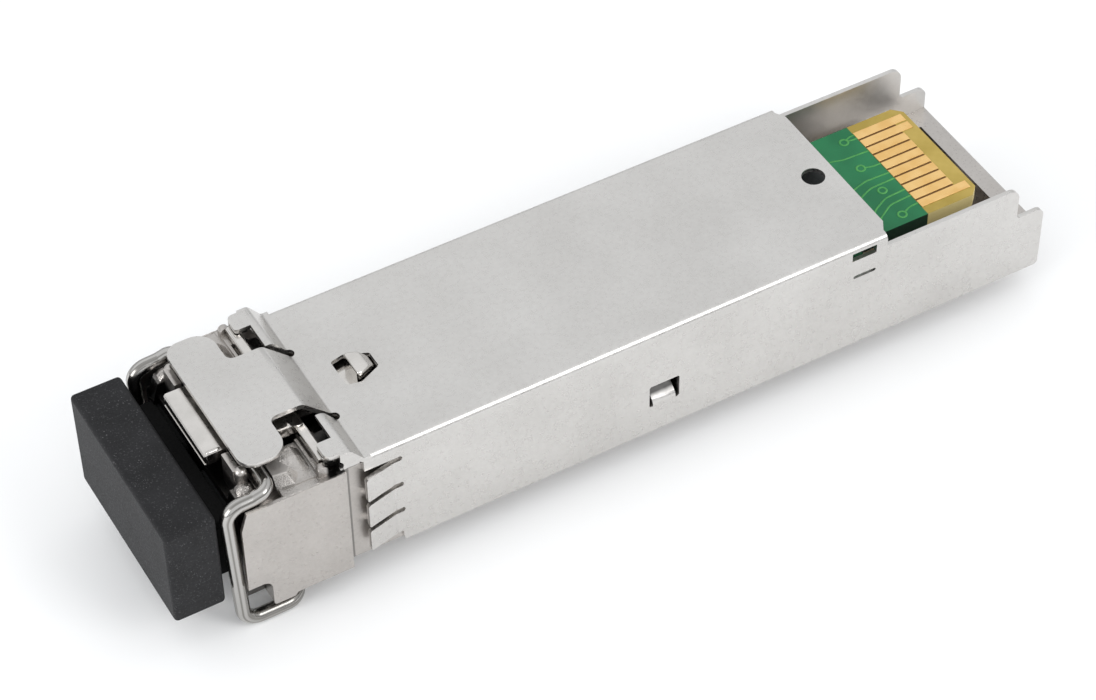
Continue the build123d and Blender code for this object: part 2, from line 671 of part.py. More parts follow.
def tray():
    """Shallow tray behind the nose with rails under the board and a rear ledge."""
    base = block(CORE_REAR - 1, TRAY_REAR, -INNER_HALF, INNER_HALF, 0, FLOOR)
    ledge = block(LEDGE_FRONT, TRAY_REAR, -INNER_HALF, INNER_HALF, 0, LEDGE_TOP)
    low = block(BOARD_TAIL_START, TRAY_REAR, RAIL_INNER, INNER_HALF, 0, LEDGE_TOP)
    rail = block(BOARD_FRONT - 1, BOARD_TAIL_START, RAIL_INNER, INNER_HALF, 0, BOARD_BOTTOM)
    guide = block(BOARD_FRONT - 1, GUIDE_END, BOARD_WIDTH / 2 + 0.05, INNER_HALF,
                  0, INNER_TOP - 0.4)
    side = block(CORE_REAR - 1, BOARD_FRONT, INNER_HALF - 0.5, INNER_HALF, 0, INNER_TOP - 0.4)
    window = block(WINDOW_X[0] - WINDOW_ROOM, WINDOW_X[1] + WINDOW_ROOM, RAIL_INNER, HALF,
                   WINDOW_Z[0] - WINDOW_ROOM, WINDOW_Z[1] + WINDOW_ROOM)
    return base + ledge + both_sides(low + rail + guide + side - window)


def lever_slot():
    """Slot above the ports where the lever drops towards its tail."""
    half = LEVER_TAIL_HALF + 0.5
    slot = block(NOSE_REAR - 1.5, CORE_REAR + 1, -half, half, LEVER_SLOT_FLOOR, 12)
    return slot + block(PORT_FLOOR_X, CORE_REAR + 1, -half, half, LEVER_SLOT_LOW, 12)


def base_casting():
    body = nose_core() + both_sides(nose_side()) + tray() + front_posts() + deck_details()
    return body - port_cuts() - pivot_groove() - trunnion_recess() - lever_slot()


def rounded_wire(points, radii):
    """Path through 3-D points with an arc of the given radius at each inner point."""
    points = [Vector(*point) for point in points]
    edges = []
    start = points[0]
    for before, corner, after, radius in zip(points, points[1:], points[2:], radii):
        back = (before - corner).normalized()
        ahead = (after - corner).normalized()
        angle = radians(back.get_angle(ahead))
        reach = radius / tan(angle / 2)
        enter = corner + back * reach
        leave = corner + ahead * reach
        bisector = (back + ahead).normalized()
        centre = corner + bisector * (radius / sin(angle / 2))
        top = centre - bisector * radius
        edges.append(Line(start, enter))
        edges.append(ThreePointArc(enter, top, leave))
        start = leave
    edges.append(Line(start, points[-1]))
    return Wire(edges)


def bail():
    """Wire bent into a handle: crank, pivots, arms, lower legs and a jointed cross bar."""
    crank_x = PIVOT_X + CRANK_DX
    crank_z = PIVOT_Z + CRANK_DZ
    foot_x, foot_z = BAIL_FOOT
    points = (
        (crank_x, 0, crank_z),
        (crank_x, CRANK_INNER, crank_z),
        (PIVOT_X, CRANK_OUTER, PIVOT_Z),
        (PIVOT_X, BAIL_ARM_Y, PIVOT_Z),
        (BAIL_KNEE[0], BAIL_ARM_Y, BAIL_KNEE[1]),
        (BAIL_SHOULDER[0], BAIL_ARM_Y, BAIL_SHOULDER[1]),
        (foot_x, BAIL_ARM_Y, foot_z),
        (BAIL_BAR_X, BAIL_ARM_Y, foot_z),
        (BAIL_BAR_X, BAIL_JOINT_GAP / 2, foot_z),
    )
    radii = (
        BAIL_CRANK_ROUND,
        BAIL_CRANK_ROUND,
        BAIL_ARM_ROUND,
        BAIL_CRANK_ROUND,
        BAIL_SHOULDER_ROUND,
        BAIL_FOOT_ROUND,
        BAIL_BAR_ROUND,
    )
    path = rounded_wire(points, radii)
    section = Plane(path @ 0, z_dir=path % 0) * RegularPolygon(WIRE_R, WIRE_SIDES)
    half = sweep(section, path=path)
    return both_sides(half)


def lever_outline():
    """Side view of the lever: front block, beam, drop and tail."""
    bottom = LEVER_TOP - LEVER_THICK
    tail_bottom = LEVER_TAIL_TOP - LEVER_TAIL_THICK
    points = (
        (LEVER_FRONT, LEVER_TOP),
        (LEVER_FRONT, bottom - 0.1),
        (1.6, bottom - 0.1),
        (2.0, bottom),
        (6.1, bottom),
        (7.2, tail_bottom),
        (LEVER_TAIL_END, tail_bottom),
        (LEVER_TAIL_END, LEVER_TAIL_TOP),
        (7.75, LEVER_TAIL_TOP),
        (6.3, LEVER_TOP - 0.2),
        (5.6, LEVER_TOP),
    )
    rounds = (
        ((LEVER_FRONT, LEVER_TOP), 0.25),
        ((LEVER_FRONT, bottom - 0.1), 0.3),
        ((7.2, tail_bottom), 0.4),
        ((7.75, LEVER_TAIL_TOP), 0.4),
        ((5.6, LEVER_TOP), 0.8),
    )
    return outline(points, rounds)


def lever_plan():
    """Plan of the lever: wide front block, waist, wide pivot end and narrow tail."""
    half = (
        (LEVER_FRONT, LEVER_HALF),
        (1.75, LEVER_HALF),
        (1.75, LEVER_NECK_HALF),
        (4.7, LEVER_NECK_HALF),
        (4.7, CHANNEL_HALF - 0.2),
        (LEVER_PIVOT_X + TRUNNION_W / 2, CHANNEL_HALF - 0.2),
        (LEVER_PIVOT_X + TRUNNION_W / 2, LEVER_TAIL_HALF),
        (LEVER_TAIL_END, LEVER_TAIL_HALF),
    )
    points = half + tuple((x, -y) for x, y in reversed(half))
    rounds = []
    for side in (1, -1):
        rounds.append(((LEVER_FRONT, side * LEVER_HALF), 0.2))
        rounds.append(((4.7, side * (CHANNEL_HALF - 0.2)), 0.35))
        rounds.append(((LEVER_PIVOT_X + TRUNNION_W / 2, side * (CHANNEL_HALF - 0.2)), 0.5))
        rounds.append(((LEVER_TAIL_END, side * LEVER_TAIL_HALF), 0.4))
    return outline(points, rounds)


def latch_boss():
    """Wedge shaped boss with a square shoulder at the front and faces that run back together."""
    points = (
        (BOSS_FRONT, BOSS_FRONT_HALF),
        (BOSS_FRONT + 0.3, BOSS_FRONT_HALF),
        (BOSS_REAR, BOSS_REAR_HALF),
        (BOSS_REAR, -BOSS_REAR_HALF),
        (BOSS_FRONT + 0.3, -BOSS_FRONT_HALF),
        (BOSS_FRONT, -BOSS_FRONT_HALF),
    )
    rounds = []
    for side in (1, -1):
        rounds.append(((BOSS_FRONT, side * BOSS_FRONT_HALF), 0.15))
        rounds.append(((BOSS_REAR, side * BOSS_REAR_HALF), 0.25))
    boss = plan_prism(outline(points, rounds), LEVER_TAIL_TOP - 0.3, BOSS_TOP)
    ramp = outline(((BOSS_FRONT + 0.7, BOSS_TOP + 0.1), (BOSS_REAR + 0.3, BOSS_TOP + 0.1),
                    (BOSS_REAR + 0.3, BODY_HEIGHT - 0.2)))
    return boss - side_prism(ramp, -2, 2)


def latch_lever():
    body = side_prism(lever_outline(), -LEVER_HALF - 1, LEVER_HALF + 1)
    body &= plan_prism(lever_plan(), 0, 12)
    bar_w = TRUNNION_W / 2
    bar_h = TRUNNION_H / 2
    bar = block(LEVER_PIVOT_X - bar_w, LEVER_PIVOT_X + bar_w, -TRUNNION_LENGTH, TRUNNION_LENGTH,
                LEVER_PIVOT_Z - bar_h, LEVER_PIVOT_Z + bar_h)
    bar = fillet(bar.edges().filter_by(Axis.Y), 0.16)
    return body + bar + latch_boss()


def dust_plug():
    """One moulding: head, short neck and a bored prong for each port."""
    half = PLUG_WIDTH / 2
    head = block(PLUG_FRONT, PLUG_BACK, -half, half, PLUG_BOTTOM, PLUG_TOP)
    head = chamfer(head.edges(), PLUG_ROUND)
    neck_half = PLUG_NECK_WIDTH / 2
    rise = PLUG_NECK_HEIGHT / 2
    body = head + block(PLUG_BACK - 0.5, PLUG_NECK_END, -neck_half, neck_half,
                        PORT_CENTRE_Z - rise, PORT_CENTRE_Z + rise)
    reach = PRONG_SIZE / 2
    for y in PORT_Y:
        prong = block(PLUG_BACK, PRONG_END, y - reach, y + reach,
                      PORT_CENTRE_Z - reach, PORT_CENTRE_Z + reach)
        prong = fillet(prong.edges().filter_by(Axis.X), 0.5)
        body += prong
        body -= along(PRONG_BORE_R, y, PORT_CENTRE_Z, PRONG_END - PRONG_BORE_DEPTH, PRONG_END + 1)
    return body


def barrel(y):
    """Optical barrel: stepped tube with a ferrule bore and a flange against the nose wall."""
    z = PORT_CENTRE_Z
    body = along(BARREL_R, y, z, BARREL_FRONT, CAN_FRONT)
    body += along(BARREL_FLANGE_R, y, z, BARREL_FLANGE_X, BARREL_FLANGE_X + BARREL_FLANGE_T)
    body -= faceted(FERRULE_R + SLEEVE_WALL, BORE_SIDES, y, z, BARREL_FRONT + 0.4, CAN_FRONT - 1.2)
    body -= faceted(FERRULE_R + 0.05, BORE_SIDES, y, z, BARREL_FRONT - 1, BARREL_FRONT + 1)
    return body


def alignment_sleeve(y):
    """Split tube inside the barrel that lines up the fibre's ferrule."""
    z = PORT_CENTRE_Z
    tube = faceted(FERRULE_R + SLEEVE_WALL, BORE_SIDES, y, z, BARREL_FRONT + 0.4, CAN_FRONT - 1.2)
    tube -= faceted(FERRULE_R, BORE_SIDES, y, z, BARREL_FRONT, CAN_FRONT)
    return tube - block(BARREL_FRONT, CAN_FRONT, y - 0.08, y + 0.08, z, z + 2)


def can(y, length):
    """Closed round can with its mounting header."""
    z = PORT_CENTRE_Z
    rear = CAN_FRONT + length
    body = along(CAN_R, y, z, CAN_FRONT, rear)
    return body + along(HEADER_R, y, z, rear - HEADER_T, rear)


def leads(y, count, length):
    """Wire leads that stand out of the back of a can."""
    pins = Part()
    for index in range(count):
        angle = radians(45 + index * 360 / count)
        dy = LEAD_CIRCLE * cos(angle)
        dz = LEAD_CIRCLE * sin(angle)
        pins += faceted(LEAD_R, LEAD_SIDES, y + dy, PORT_CENTRE_Z + dz,
                        CAN_FRONT + length, CAN_FRONT + length + LEAD_LENGTH)
    return pins


def flex(y, length, count):
    """Flexible circuit from the can's leads to the top of the board."""
    x0 = CAN_FRONT + length + 0.9
    z_board = BOARD_TOP + FLEX_T / 2
    path = (
        (x0, PORT_CENTRE_Z - FLEX_DROP),
        (x0, z_board - FLEX_BEND),
        (x0 + FLEX_BEND, z_board),
        (BOARD_FRONT + FLEX_LAP, z_board),
    )
    strip = trace(Polyline(*path), FLEX_T)
    body = side_prism(strip, y - FLEX_WIDTH / 2, y + FLEX_WIDTH / 2)
    return body - leads(y, count, length)


def shield_plate():
    """Stamped plate around both barrels that closes the front of the electronics space."""
    x0 = BARREL_FLANGE_X + BARREL_FLANGE_T
    plate = block(x0, x0 + SHIELD_T, -INNER_HALF + SHIELD_INSET, INNER_HALF - SHIELD_INSET,
                  FLOOR, INNER_TOP - SHIELD_TOP_ROOM)
    for y in PORT_Y:
        plate -= along(BARREL_R + 0.03, y, PORT_CENTRE_Z, x0 - 1, x0 + 1)
    half = LEVER_TAIL_HALF + 0.3
    return plate - block(x0 - 1, x0 + 1, -half, half, LEVER_SLOT_LOW, 12)


def barrel_clamp():
    """Saddle that holds both cans down on the tray."""
    x0 = CAN_FRONT + 0.4
    x1 = x0 + 1.5
    body = block(x0, x1, -INNER_HALF + 0.5, INNER_HALF - 0.5, FLOOR, PORT_CENTRE_Z)
    for y in PORT_Y:
        body -= along(CAN_R + 0.03, y, PORT_CENTRE_Z, x0 - 1, x1 + 1)
    return body


def circuit_board():
    """Stepped board with a narrow tail that forms the card edge."""
    tail = BOARD_TAIL_WIDTH / 2
    wide = BOARD_WIDTH / 2
    c = BOARD_CHAMFER
    half = (
        (BOARD_END, tail - c),
        (BOARD_END - c, tail),
        (BOARD_TAIL_START, tail),
        (BOARD_TAIL_START, wide),
        (BOARD_FRONT, wide),
    )
    points = half + tuple((x, -y) for x, y in reversed(half))
    board = plan_prism(outline(points), BOARD_BOTTOM, BOARD_TOP)
    return board - Pos(BOARD_FRONT, 0, BOARD_BOTTOM) * Cylinder(0.9, 4)


def edge_contacts():
    """Gold contacts on both faces of the card edge, the ground contacts longer."""
    pads = Part()
    first = (PAD_COUNT - 1) / 2 * PAD_PITCH
    for index in range(PAD_COUNT):
        y = first - index * PAD_PITCH
        end = PAD_START + (PAD_LONG if index in LONG_PADS else PAD_SHORT)
        for z0 in (BOARD_TOP, BOARD_BOTTOM - PAD_T):
            pads += block(PAD_START, end, y - PAD_WIDTH / 2, y + PAD_WIDTH / 2, z0, z0 + PAD_T)
    return pads


def chip(place, face_down):
    """Moulded package standing on one face of the board."""
    x, y, length, width, height = place
    z0 = BOARD_BOTTOM - height if face_down else BOARD_TOP
    body = block(x - length / 2, x + length / 2, y - width / 2, y + width / 2, z0, z0 + height)
    return chamfer(body.edges().filter_by(Axis.Z), 0.15)


def small_parts(places, size):
    """Row of small blocks of one size on the top of the board."""
    length, width, height = size
    parts = Part()
    for x, y in places:
        parts += block(x - length / 2, x + length / 2, y - width / 2, y + width / 2,
                       BOARD_TOP, BOARD_TOP + height)
    return parts


def thermal_pad():
    """Soft pad between the driver chip and the tray floor."""
    x, y, length, width, height = DRIVER_CHIP
    return block(x - length / 2, x + length / 2, y - width / 2, y + width / 2,
                 FLOOR, BOARD_BOTTOM - height)


def grid(count, x0, pitch, y):
    return [(x0 + index * pitch, y) for index in range(count)]


def place(shape):
    return Pos(-ORIGIN_X, 0, -ORIGIN_Z) * shape


TX_Y, RX_Y = PORT_Y
TX_LENGTH = CAN_REAR - CAN_FRONT
RX_LENGTH = TX_LENGTH - 0.8

PIECES = {
    "shell": shell,
    "base_casting": base_casting,
    "bail": bail,
    "latch_lever": latch_lever,
    "dust_plug": dust_plug,
    "circuit_board": circuit_board,
    "edge_contacts": edge_contacts,
    "laser_driver": lambda: chip(DRIVER_CHIP, True),
    "receiver_amplifier": lambda: chip(RECEIVER_CHIP, True),
    "controller_chip": lambda: chip(CONTROLLER_CHIP, False),
    "memory_chip": lambda: chip(MEMORY_CHIP, True),
    "capacitors": lambda: small_parts(
        grid(CAPACITOR_COUNT, *CAPACITOR_ROW) + grid(CAPACITOR_COUNT, *CAPACITOR_FAR_ROW),
        CAPACITOR_SIZE),
    "resistors": lambda: small_parts(
        grid(RESISTOR_COUNT, *RESISTOR_ROW) + grid(REAR_COUNT, *REAR_RESISTOR_ROW),
        RESISTOR_SIZE),
    "ferrite_beads": lambda: small_parts(grid(REAR_COUNT, *BEAD_ROW), BEAD_SIZE),
    "thermal_pad": thermal_pad,
    "transmitter_barrel": lambda: barrel(TX_Y),
    "receiver_barrel": lambda: barrel(RX_Y),
    "alignment_sleeves": lambda: alignment_sleeve(TX_Y) + alignment_sleeve(RX_Y),
    "transmitter_can": lambda: can(TX_Y, TX_LENGTH),
    "receiver_can": lambda: can(RX_Y, RX_LENGTH),
    "transmitter_leads": lambda: leads(TX_Y, 4, TX_LENGTH),
    "receiver_leads": lambda: leads(RX_Y, 4, RX_LENGTH),
    "transmitter_flex": lambda: flex(TX_Y, TX_LENGTH, 4),
    "receiver_flex": lambda: flex(RX_Y, RX_LENGTH, 4),
    "shield_plate": shield_plate,
    "barrel_clamp": barrel_clamp,
}

for name, make in PIECES.items():
    export_step(place(make()), f"parts/{name}.step")
    print("wrote", name)
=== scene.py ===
import bpy
import bmesh
import json
import math
import random
from mathutils import Vector, Matrix


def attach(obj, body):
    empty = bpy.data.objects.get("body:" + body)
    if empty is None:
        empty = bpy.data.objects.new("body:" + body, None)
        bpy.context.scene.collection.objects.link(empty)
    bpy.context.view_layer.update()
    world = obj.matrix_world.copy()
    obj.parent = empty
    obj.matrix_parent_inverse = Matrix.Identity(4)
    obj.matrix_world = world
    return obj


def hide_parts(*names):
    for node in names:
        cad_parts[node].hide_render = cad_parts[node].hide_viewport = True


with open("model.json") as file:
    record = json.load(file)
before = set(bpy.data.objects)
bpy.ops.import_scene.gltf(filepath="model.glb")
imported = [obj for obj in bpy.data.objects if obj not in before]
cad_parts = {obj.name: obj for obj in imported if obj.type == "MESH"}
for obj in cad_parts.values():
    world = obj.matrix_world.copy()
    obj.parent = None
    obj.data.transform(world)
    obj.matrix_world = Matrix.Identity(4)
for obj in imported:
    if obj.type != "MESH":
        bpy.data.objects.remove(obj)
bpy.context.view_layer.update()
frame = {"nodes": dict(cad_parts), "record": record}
mm = 0.001
scene = bpy.context.scene
scene.view_settings.view_transform = "Standard"

# where the drawing's own zero lies in the frame: x from the nose stop, z from the label face
drawing = {"x": -26.225, "z": 2.0}


def at(x, y, z):
    return Vector(((x + drawing["x"]) * mm, y * mm, (z + drawing["z"]) * mm))


print("stage 1: frame loaded,", len(frame["nodes"]), "nodes")

# camera, solved from the straight edges of the photograph
cameraSettings = {
    "place": (-43.385, -121.945, 148.814),
    "back": (-0.335690, -0.604132, 0.722729),
    "up": (0.366706, 0.622911, 0.691020),
    "lens": 108.265, "sensor": 36, "clip": (0.01, 5),
}


def makeCamera(s):
    data = bpy.data.cameras.new("photoCamera")
    data.sensor_width = s["sensor"]
    data.lens = s["lens"]
    data.clip_start, data.clip_end = s["clip"]
    cam = bpy.data.objects.new("photoCamera", data)
    scene.collection.objects.link(cam)
    back, up = Vector(s["back"]).normalized(), Vector(s["up"]).normalized()
    right = up.cross(back).normalized()
    up = back.cross(right)
    turn = Matrix((right, up, back)).transposed().to_4x4()
    cam.matrix_world = Matrix.Translation(at(*s["place"])) @ turn
    scene.camera = cam


makeCamera(cameraSettings)

# light: a white room that is dim at its horizon, a soft box over the near long edge and one in front
# each horizon stop is a height in the room and how bright it is there
lightSettings = {
    "roomColor": (0.97, 0.985, 1.0), "roomStrength": 1.0, "roomTop": 0.62,
    "horizon": ((0.03, 0.22), (0.08, 0.22), (0.14, 0.78), (0.34, 0.88), (0.5, 0.95)),
    "target": (22, 0, 5),
    "overEdge": {"from": (0.336, -0.723, 0.604), "far": 0.32, "size": 0.12, "watts": 0.23},
    "front": {"from": (-0.90, -0.10, 0.35), "far": 0.30, "size": 0.16, "watts": 0.34},
    "floorColor": (0.93, 0.93, 0.93), "floorSize": 3, "floorRough": 0.9,
}


def makeRoom(s):
    world = bpy.data.worlds.new("softRoom")
    scene.world = world
    world.use_nodes = True
    nt = world.node_tree
    nt.nodes.clear()
    out = nt.nodes.new("ShaderNodeOutputWorld")
    seen = nt.nodes.new("ShaderNodeBackground")
    lit = nt.nodes.new("ShaderNodeBackground")
    mix = nt.nodes.new("ShaderNodeMixShader")
    path = nt.nodes.new("ShaderNodeLightPath")
    coord = nt.nodes.new("ShaderNodeTexCoord")
    split = nt.nodes.new("ShaderNodeSeparateXYZ")
    ramp = nt.nodes.new("ShaderNodeValToRGB")
    gloss = nt.nodes.new("ShaderNodeMix")
    gloss.data_type = "RGBA"
    seen.inputs["Color"].default_value = (1, 1, 1, 1)
    nt.links.new(coord.outputs["Generated"], split.inputs[0])
    nt.links.new(split.outputs["Z"], ramp.inputs[0])
    stops = ramp.color_ramp.elements
    stops[0].position, stops[0].color = 0.0, (*s["roomColor"], 1)
    stops[1].position, stops[1].color = s["roomTop"], (*s["roomColor"], 1)
    for height, level in s["horizon"]:
        stops.new(height).color = (*(level * c for c in s["roomColor"]), 1)
    # only reflections see the dim horizon, and the camera sees plain white
    gloss.inputs["A"].default_value = (*s["roomColor"], 1)
    nt.links.new(path.outputs["Is Glossy Ray"], gloss.inputs["Factor"])
    nt.links.new(ramp.outputs[0], gloss.inputs["B"])
    nt.links.new(gloss.outputs["Result"], lit.inputs["Color"])
    lit.inputs["Strength"].default_value = s["roomStrength"]
    nt.links.new(path.outputs["Is Camera Ray"], mix.inputs[0])
    nt.links.new(lit.outputs[0], mix.inputs[1])
    nt.links.new(seen.outputs[0], mix.inputs[2])
    nt.links.new(mix.outputs[0], out.inputs[0])


def makeSoftBox(name, s, target):
    data = bpy.data.lights.new(name, "AREA")
    data.shape = "SQUARE"
    data.size = s["size"]
    data.energy = s["watts"]
    lamp = bpy.data.objects.new(name, data)
    scene.collection.objects.link(lamp)
    way = Vector(s["from"]).normalized()
    turn = way.to_track_quat("Z", "Y").to_matrix().to_4x4()
    lamp.matrix_world = Matrix.Translation(at(*target) + way * s["far"]) @ turn


def makeFloor(s):
    bpy.ops.mesh.primitive_plane_add(size=s["floorSize"], location=(0, 0, 0))
    floor = bpy.context.object
    floor.name = "studioFloor"
    paper = bpy.data.materials.new("floorPaper")
    paper.use_nodes = True
    shader = paper.node_tree.nodes["Principled BSDF"]
    shader.inputs["Base Color"].default_value = (*s["floorColor"], 1)
    shader.inputs["Roughness"].default_value = s["floorRough"]
    shader.inputs["Specular IOR Level"].default_value = 0.0
    floor.data.materials.append(paper)


makeRoom(lightSettings)
makeSoftBox("softBoxOverEdge", lightSettings["overEdge"], lightSettings["target"])
makeSoftBox("softBoxFront", lightSettings["front"], lightSettings["target"])
makeFloor(lightSettings)
print("stage 2: camera, room and floor")


# materials: all patterns read Object coordinates, taken to millimetres
class Nodes:
    def __init__(self, name):
        self.mat = bpy.data.materials.new(name)
        self.mat.use_nodes = True
        self.tree = self.mat.node_tree
        self.shader = self.tree.nodes["Principled BSDF"]
        coord = self.add("ShaderNodeTexCoord")
        self.place = self.add("ShaderNodeMapping")
        self.place.inputs["Scale"].default_value = (1000, 1000, 1000)
        self.link(coord.outputs["Object"], self.place.inputs["Vector"])

    def add(self, kind):
        return self.tree.nodes.new(kind)

    def link(self, a, b):
        self.tree.links.new(a, b)

    def noise(self, scale, detail=2.0, grit=0.5, stretch=None, source=None):
        n = self.add("ShaderNodeTexNoise")
        n.inputs["Scale"].default_value = scale
        n.inputs["Detail"].default_value = detail
        n.inputs["Roughness"].default_value = grit
        source = source or self.place.outputs[0]
        if stretch:
            m = self.add("ShaderNodeMapping")
            m.inputs["Scale"].default_value = stretch
            self.link(source, m.inputs["Vector"])
            source = m.outputs[0]
        self.link(source, n.inputs["Vector"])
        return n.outputs["Fac"]

    def ramp(self, value, low, high, a=0.0, b=1.0):
        r = self.add("ShaderNodeMapRange")
        r.inputs["From Min"].default_value = low
        r.inputs["From Max"].default_value = high
        r.inputs["To Min"].default_value = a
        r.inputs["To Max"].default_value = b
        self.link(value, r.inputs["Value"])
        return r.outputs["Result"]

    def band(self, value, low, high, fadeLow, fadeHigh):
        # one between low and high, fading inwards from both
        return self.times(self.ramp(value, low, low + fadeLow), self.ramp(value, high, high - fadeHigh))

    def math(self, kind, a, b=0.0):
        n = self.add("ShaderNodeMath")
        n.operation = kind
        for i, v in enumerate((a, b)):
            if isinstance(v, (int, float)):
                n.inputs[i].default_value = v
            else:
                self.link(v, n.inputs[i])
        return n.outputs[0]

    def chain(self, kind, values):
        result = values[0]
        for v in values[1:]:
            result = self.math(kind, result, v)
        return result

    def times(self, *values):
        return self.chain("MULTIPLY", values)

    def total(self, *values):
        return self.chain("ADD", values)

    def most(self, *values):
        return self.chain("MAXIMUM", values)

    def blend(self, a, b, share):
        return self.total(self.times(a, share), self.times(b, 1 - share))

    def mix(self, fac, a, b):
        n = self.add("ShaderNodeMix")
        n.data_type = "RGBA"
        for socket, v in ((n.inputs["Factor"], fac), (n.inputs["A"], a), (n.inputs["B"], b)):
            if isinstance(v, tuple):
                socket.default_value = (*v, 1)
            else:
                self.link(v, socket)
        return n.outputs["Result"]

    def split(self, vector):
        s = self.add("ShaderNodeSeparateXYZ")
        self.link(vector, s.inputs[0])
        return s.outputs["X"], s.outputs["Y"], s.outputs["Z"]

    def axes(self):
        return self.split(self.place.outputs[0])

    def normal(self):
        return self.split(self.add("ShaderNodeNewGeometry").outputs["Normal"])

    def bump(self, height, strength, distance):
        n = self.add("ShaderNodeBump")
        n.inputs["Strength"].default_value = strength
        n.inputs["Distance"].default_value = distance * mm
        self.link(height, n.inputs["Height"])
        self.link(n.outputs[0], self.shader.inputs["Normal"])

    def set(self, **values):
        names = {"metal": "Metallic", "rough": "Roughness", "color": "Base Color",
                 "specular": "Specular IOR Level", "coat": "Coat Weight", "coatRough": "Coat Roughness"}
        for key, v in values.items():
            socket = self.shader.inputs[names[key]]
            if isinstance(v, (int, float)):
                socket.default_value = v
            else:
                self.link(v, socket)
        return self.mat


# middle is the part of a noise's range that the tones and the roughness are spread over
middle = (0.3, 0.7)
clouds = (0.35, 0.65)

sheetLook = {
    "light": (0.66, 0.645, 0.625), "dark": (0.575, 0.56, 0.54), "tones": (0.36, 0.64),
    "cloud": 0.16, "grain": 3.2, "speck": 9.0, "cloudShare": 0.55,
    "rough": (0.24, 0.38), "bump": (0.03, 0.010),
    "spot": (0.40, 0.39, 0.375), "spotRange": (0.72, 0.80), "spotMost": 0.22,
    "tabX": 2.425, "tabHalf": 1.1, "tabSide": (6.60, 6.26), "tabTop": 6.4,
    "tabShade": 0.93, "tabColor": (0.02, 0.02, 0.02),
    "wallSide": (6.62, 6.52), "wallTop": 10.2, "wallRough": 0.10,
}


def nickelSheet(s):
    n = Nodes("nickelSheet")
    cloud = n.noise(s["cloud"], 3.0)
    grain = n.noise(s["grain"], 3.0, grit=0.65)
    speck = n.noise(s["speck"], 1.0)
    x, y, z = n.axes()
    side = n.math("ABSOLUTE", y)
    tone = n.blend(cloud, grain, s["cloudShare"])
    base = n.mix(n.ramp(tone, *s["tones"]), s["dark"], s["light"])
    base = n.mix(n.ramp(speck, *s["spotRange"], 0.0, s["spotMost"]), base, s["spot"])
    # the tab inside the side window falls into shade as it leans in
    away = n.math("ABSOLUTE", n.math("SUBTRACT", x, s["tabX"]))
    shade = n.times(n.ramp(side, *s["tabSide"]), n.math("LESS_THAN", away, s["tabHalf"]),
                    n.math("LESS_THAN", z, s["tabTop"]))
    base = n.mix(n.times(shade, s["tabShade"]), base, s["tabColor"])
    # the inner faces of the walls are plain and a little duller
    inner = n.times(n.ramp(side, *s["wallSide"]), n.math("LESS_THAN", z, s["wallTop"]))
    rough = n.total(n.ramp(grain, *middle, *s["rough"]), n.times(inner, s["wallRough"]))
    n.bump(n.times(grain, n.math("SUBTRACT", 1.0, inner)), *s["bump"])
    return n.set(metal=1.0, color=base, rough=rough)


# four numbers are a band: low, high and the fade at each; two are a ramp from none to full
castLook = {
    "light": (0.54, 0.512, 0.487), "dark": (0.46, 0.435, 0.412),
    "grain": 4.5, "coarse": 23.0, "cloud": 0.3, "drift": 0.9, "wobble": 1.2,
    "rough": (0.26, 0.36), "coarseRough": 0.04, "ledgeRough": 0.22,
    "grainLift": 0.10, "coarseLift": 1.1, "bump": (0.5, 0.035),
    "deckZ": (10.02, 10.27), "deckSide": (6.96, 6.80), "deckX": (-23.9, -19.95, 0.4, 0.4),
    "farY": (-0.5, 0.5), "farShare": 0.2, "ledgeTop": 10.88, "ledgeShare": 0.12,
    "ribX": (-24.1, -24.2), "ribSide": (4.2, 5.2, 0.1, 0.1), "ribZ": (11.2, 11.0),
    "jointX": (-19.2, -16.9, 0.3, 0.5), "jointShare": 0.5,
    # painted shade: where the real rough pits are painted thicker, and by how much
    "ledgeShadeX": (-21.5, -22.3), "ledgeShadeSide": (6.95, 6.45),
    "barShadeX": (-21.35, -20.75), "barShadeEnd": (-19.3, -19.6), "plateShadeSide": (5.1, 4.4),
    "shadeMost": 0.9,
    "pit": (0.055, 0.05, 0.045), "pitShare": 0.62, "pitLimit": 0.66, "shadeLimit": 0.20,
    "pitEdge": 0.07,
    # painted shade: the near-black colour painted into the pockets and along the step, and where it goes
    "pocketShade": (0.012, 0.012, 0.012), "pocketShadeShare": 0.95,
    "frontX": (-23.8, -24.1), "frontSide": (5.98, 5.78),
    "middleX": (-17.9, -18.2), "middleSide": (3.5, 3.38), "pocketZ": (10.55, 10.05),
    "lugX": (-20.13, -18.87, 0.16, 0.16), "lugSide": (5.85, 6.92, 0.10, 0.08), "lugZ": (9.7, 9.9),
    "barX": (-19.6, -18.3, 0.15, 0.15), "barSide": (5.3, 5.2), "barZ": (10.75, 10.65),
    # painted shade: the dark line at the foot of the step down to the shell's seat
    "stepShadeX": (-19.3, -18.61, 0.10, 0.05), "stepShadeSide": (6.2, 6.75, 0.1, 0.1),
    "stepShadeZ": (10.3, 10.1), "stepShadeMost": 0.55,
}


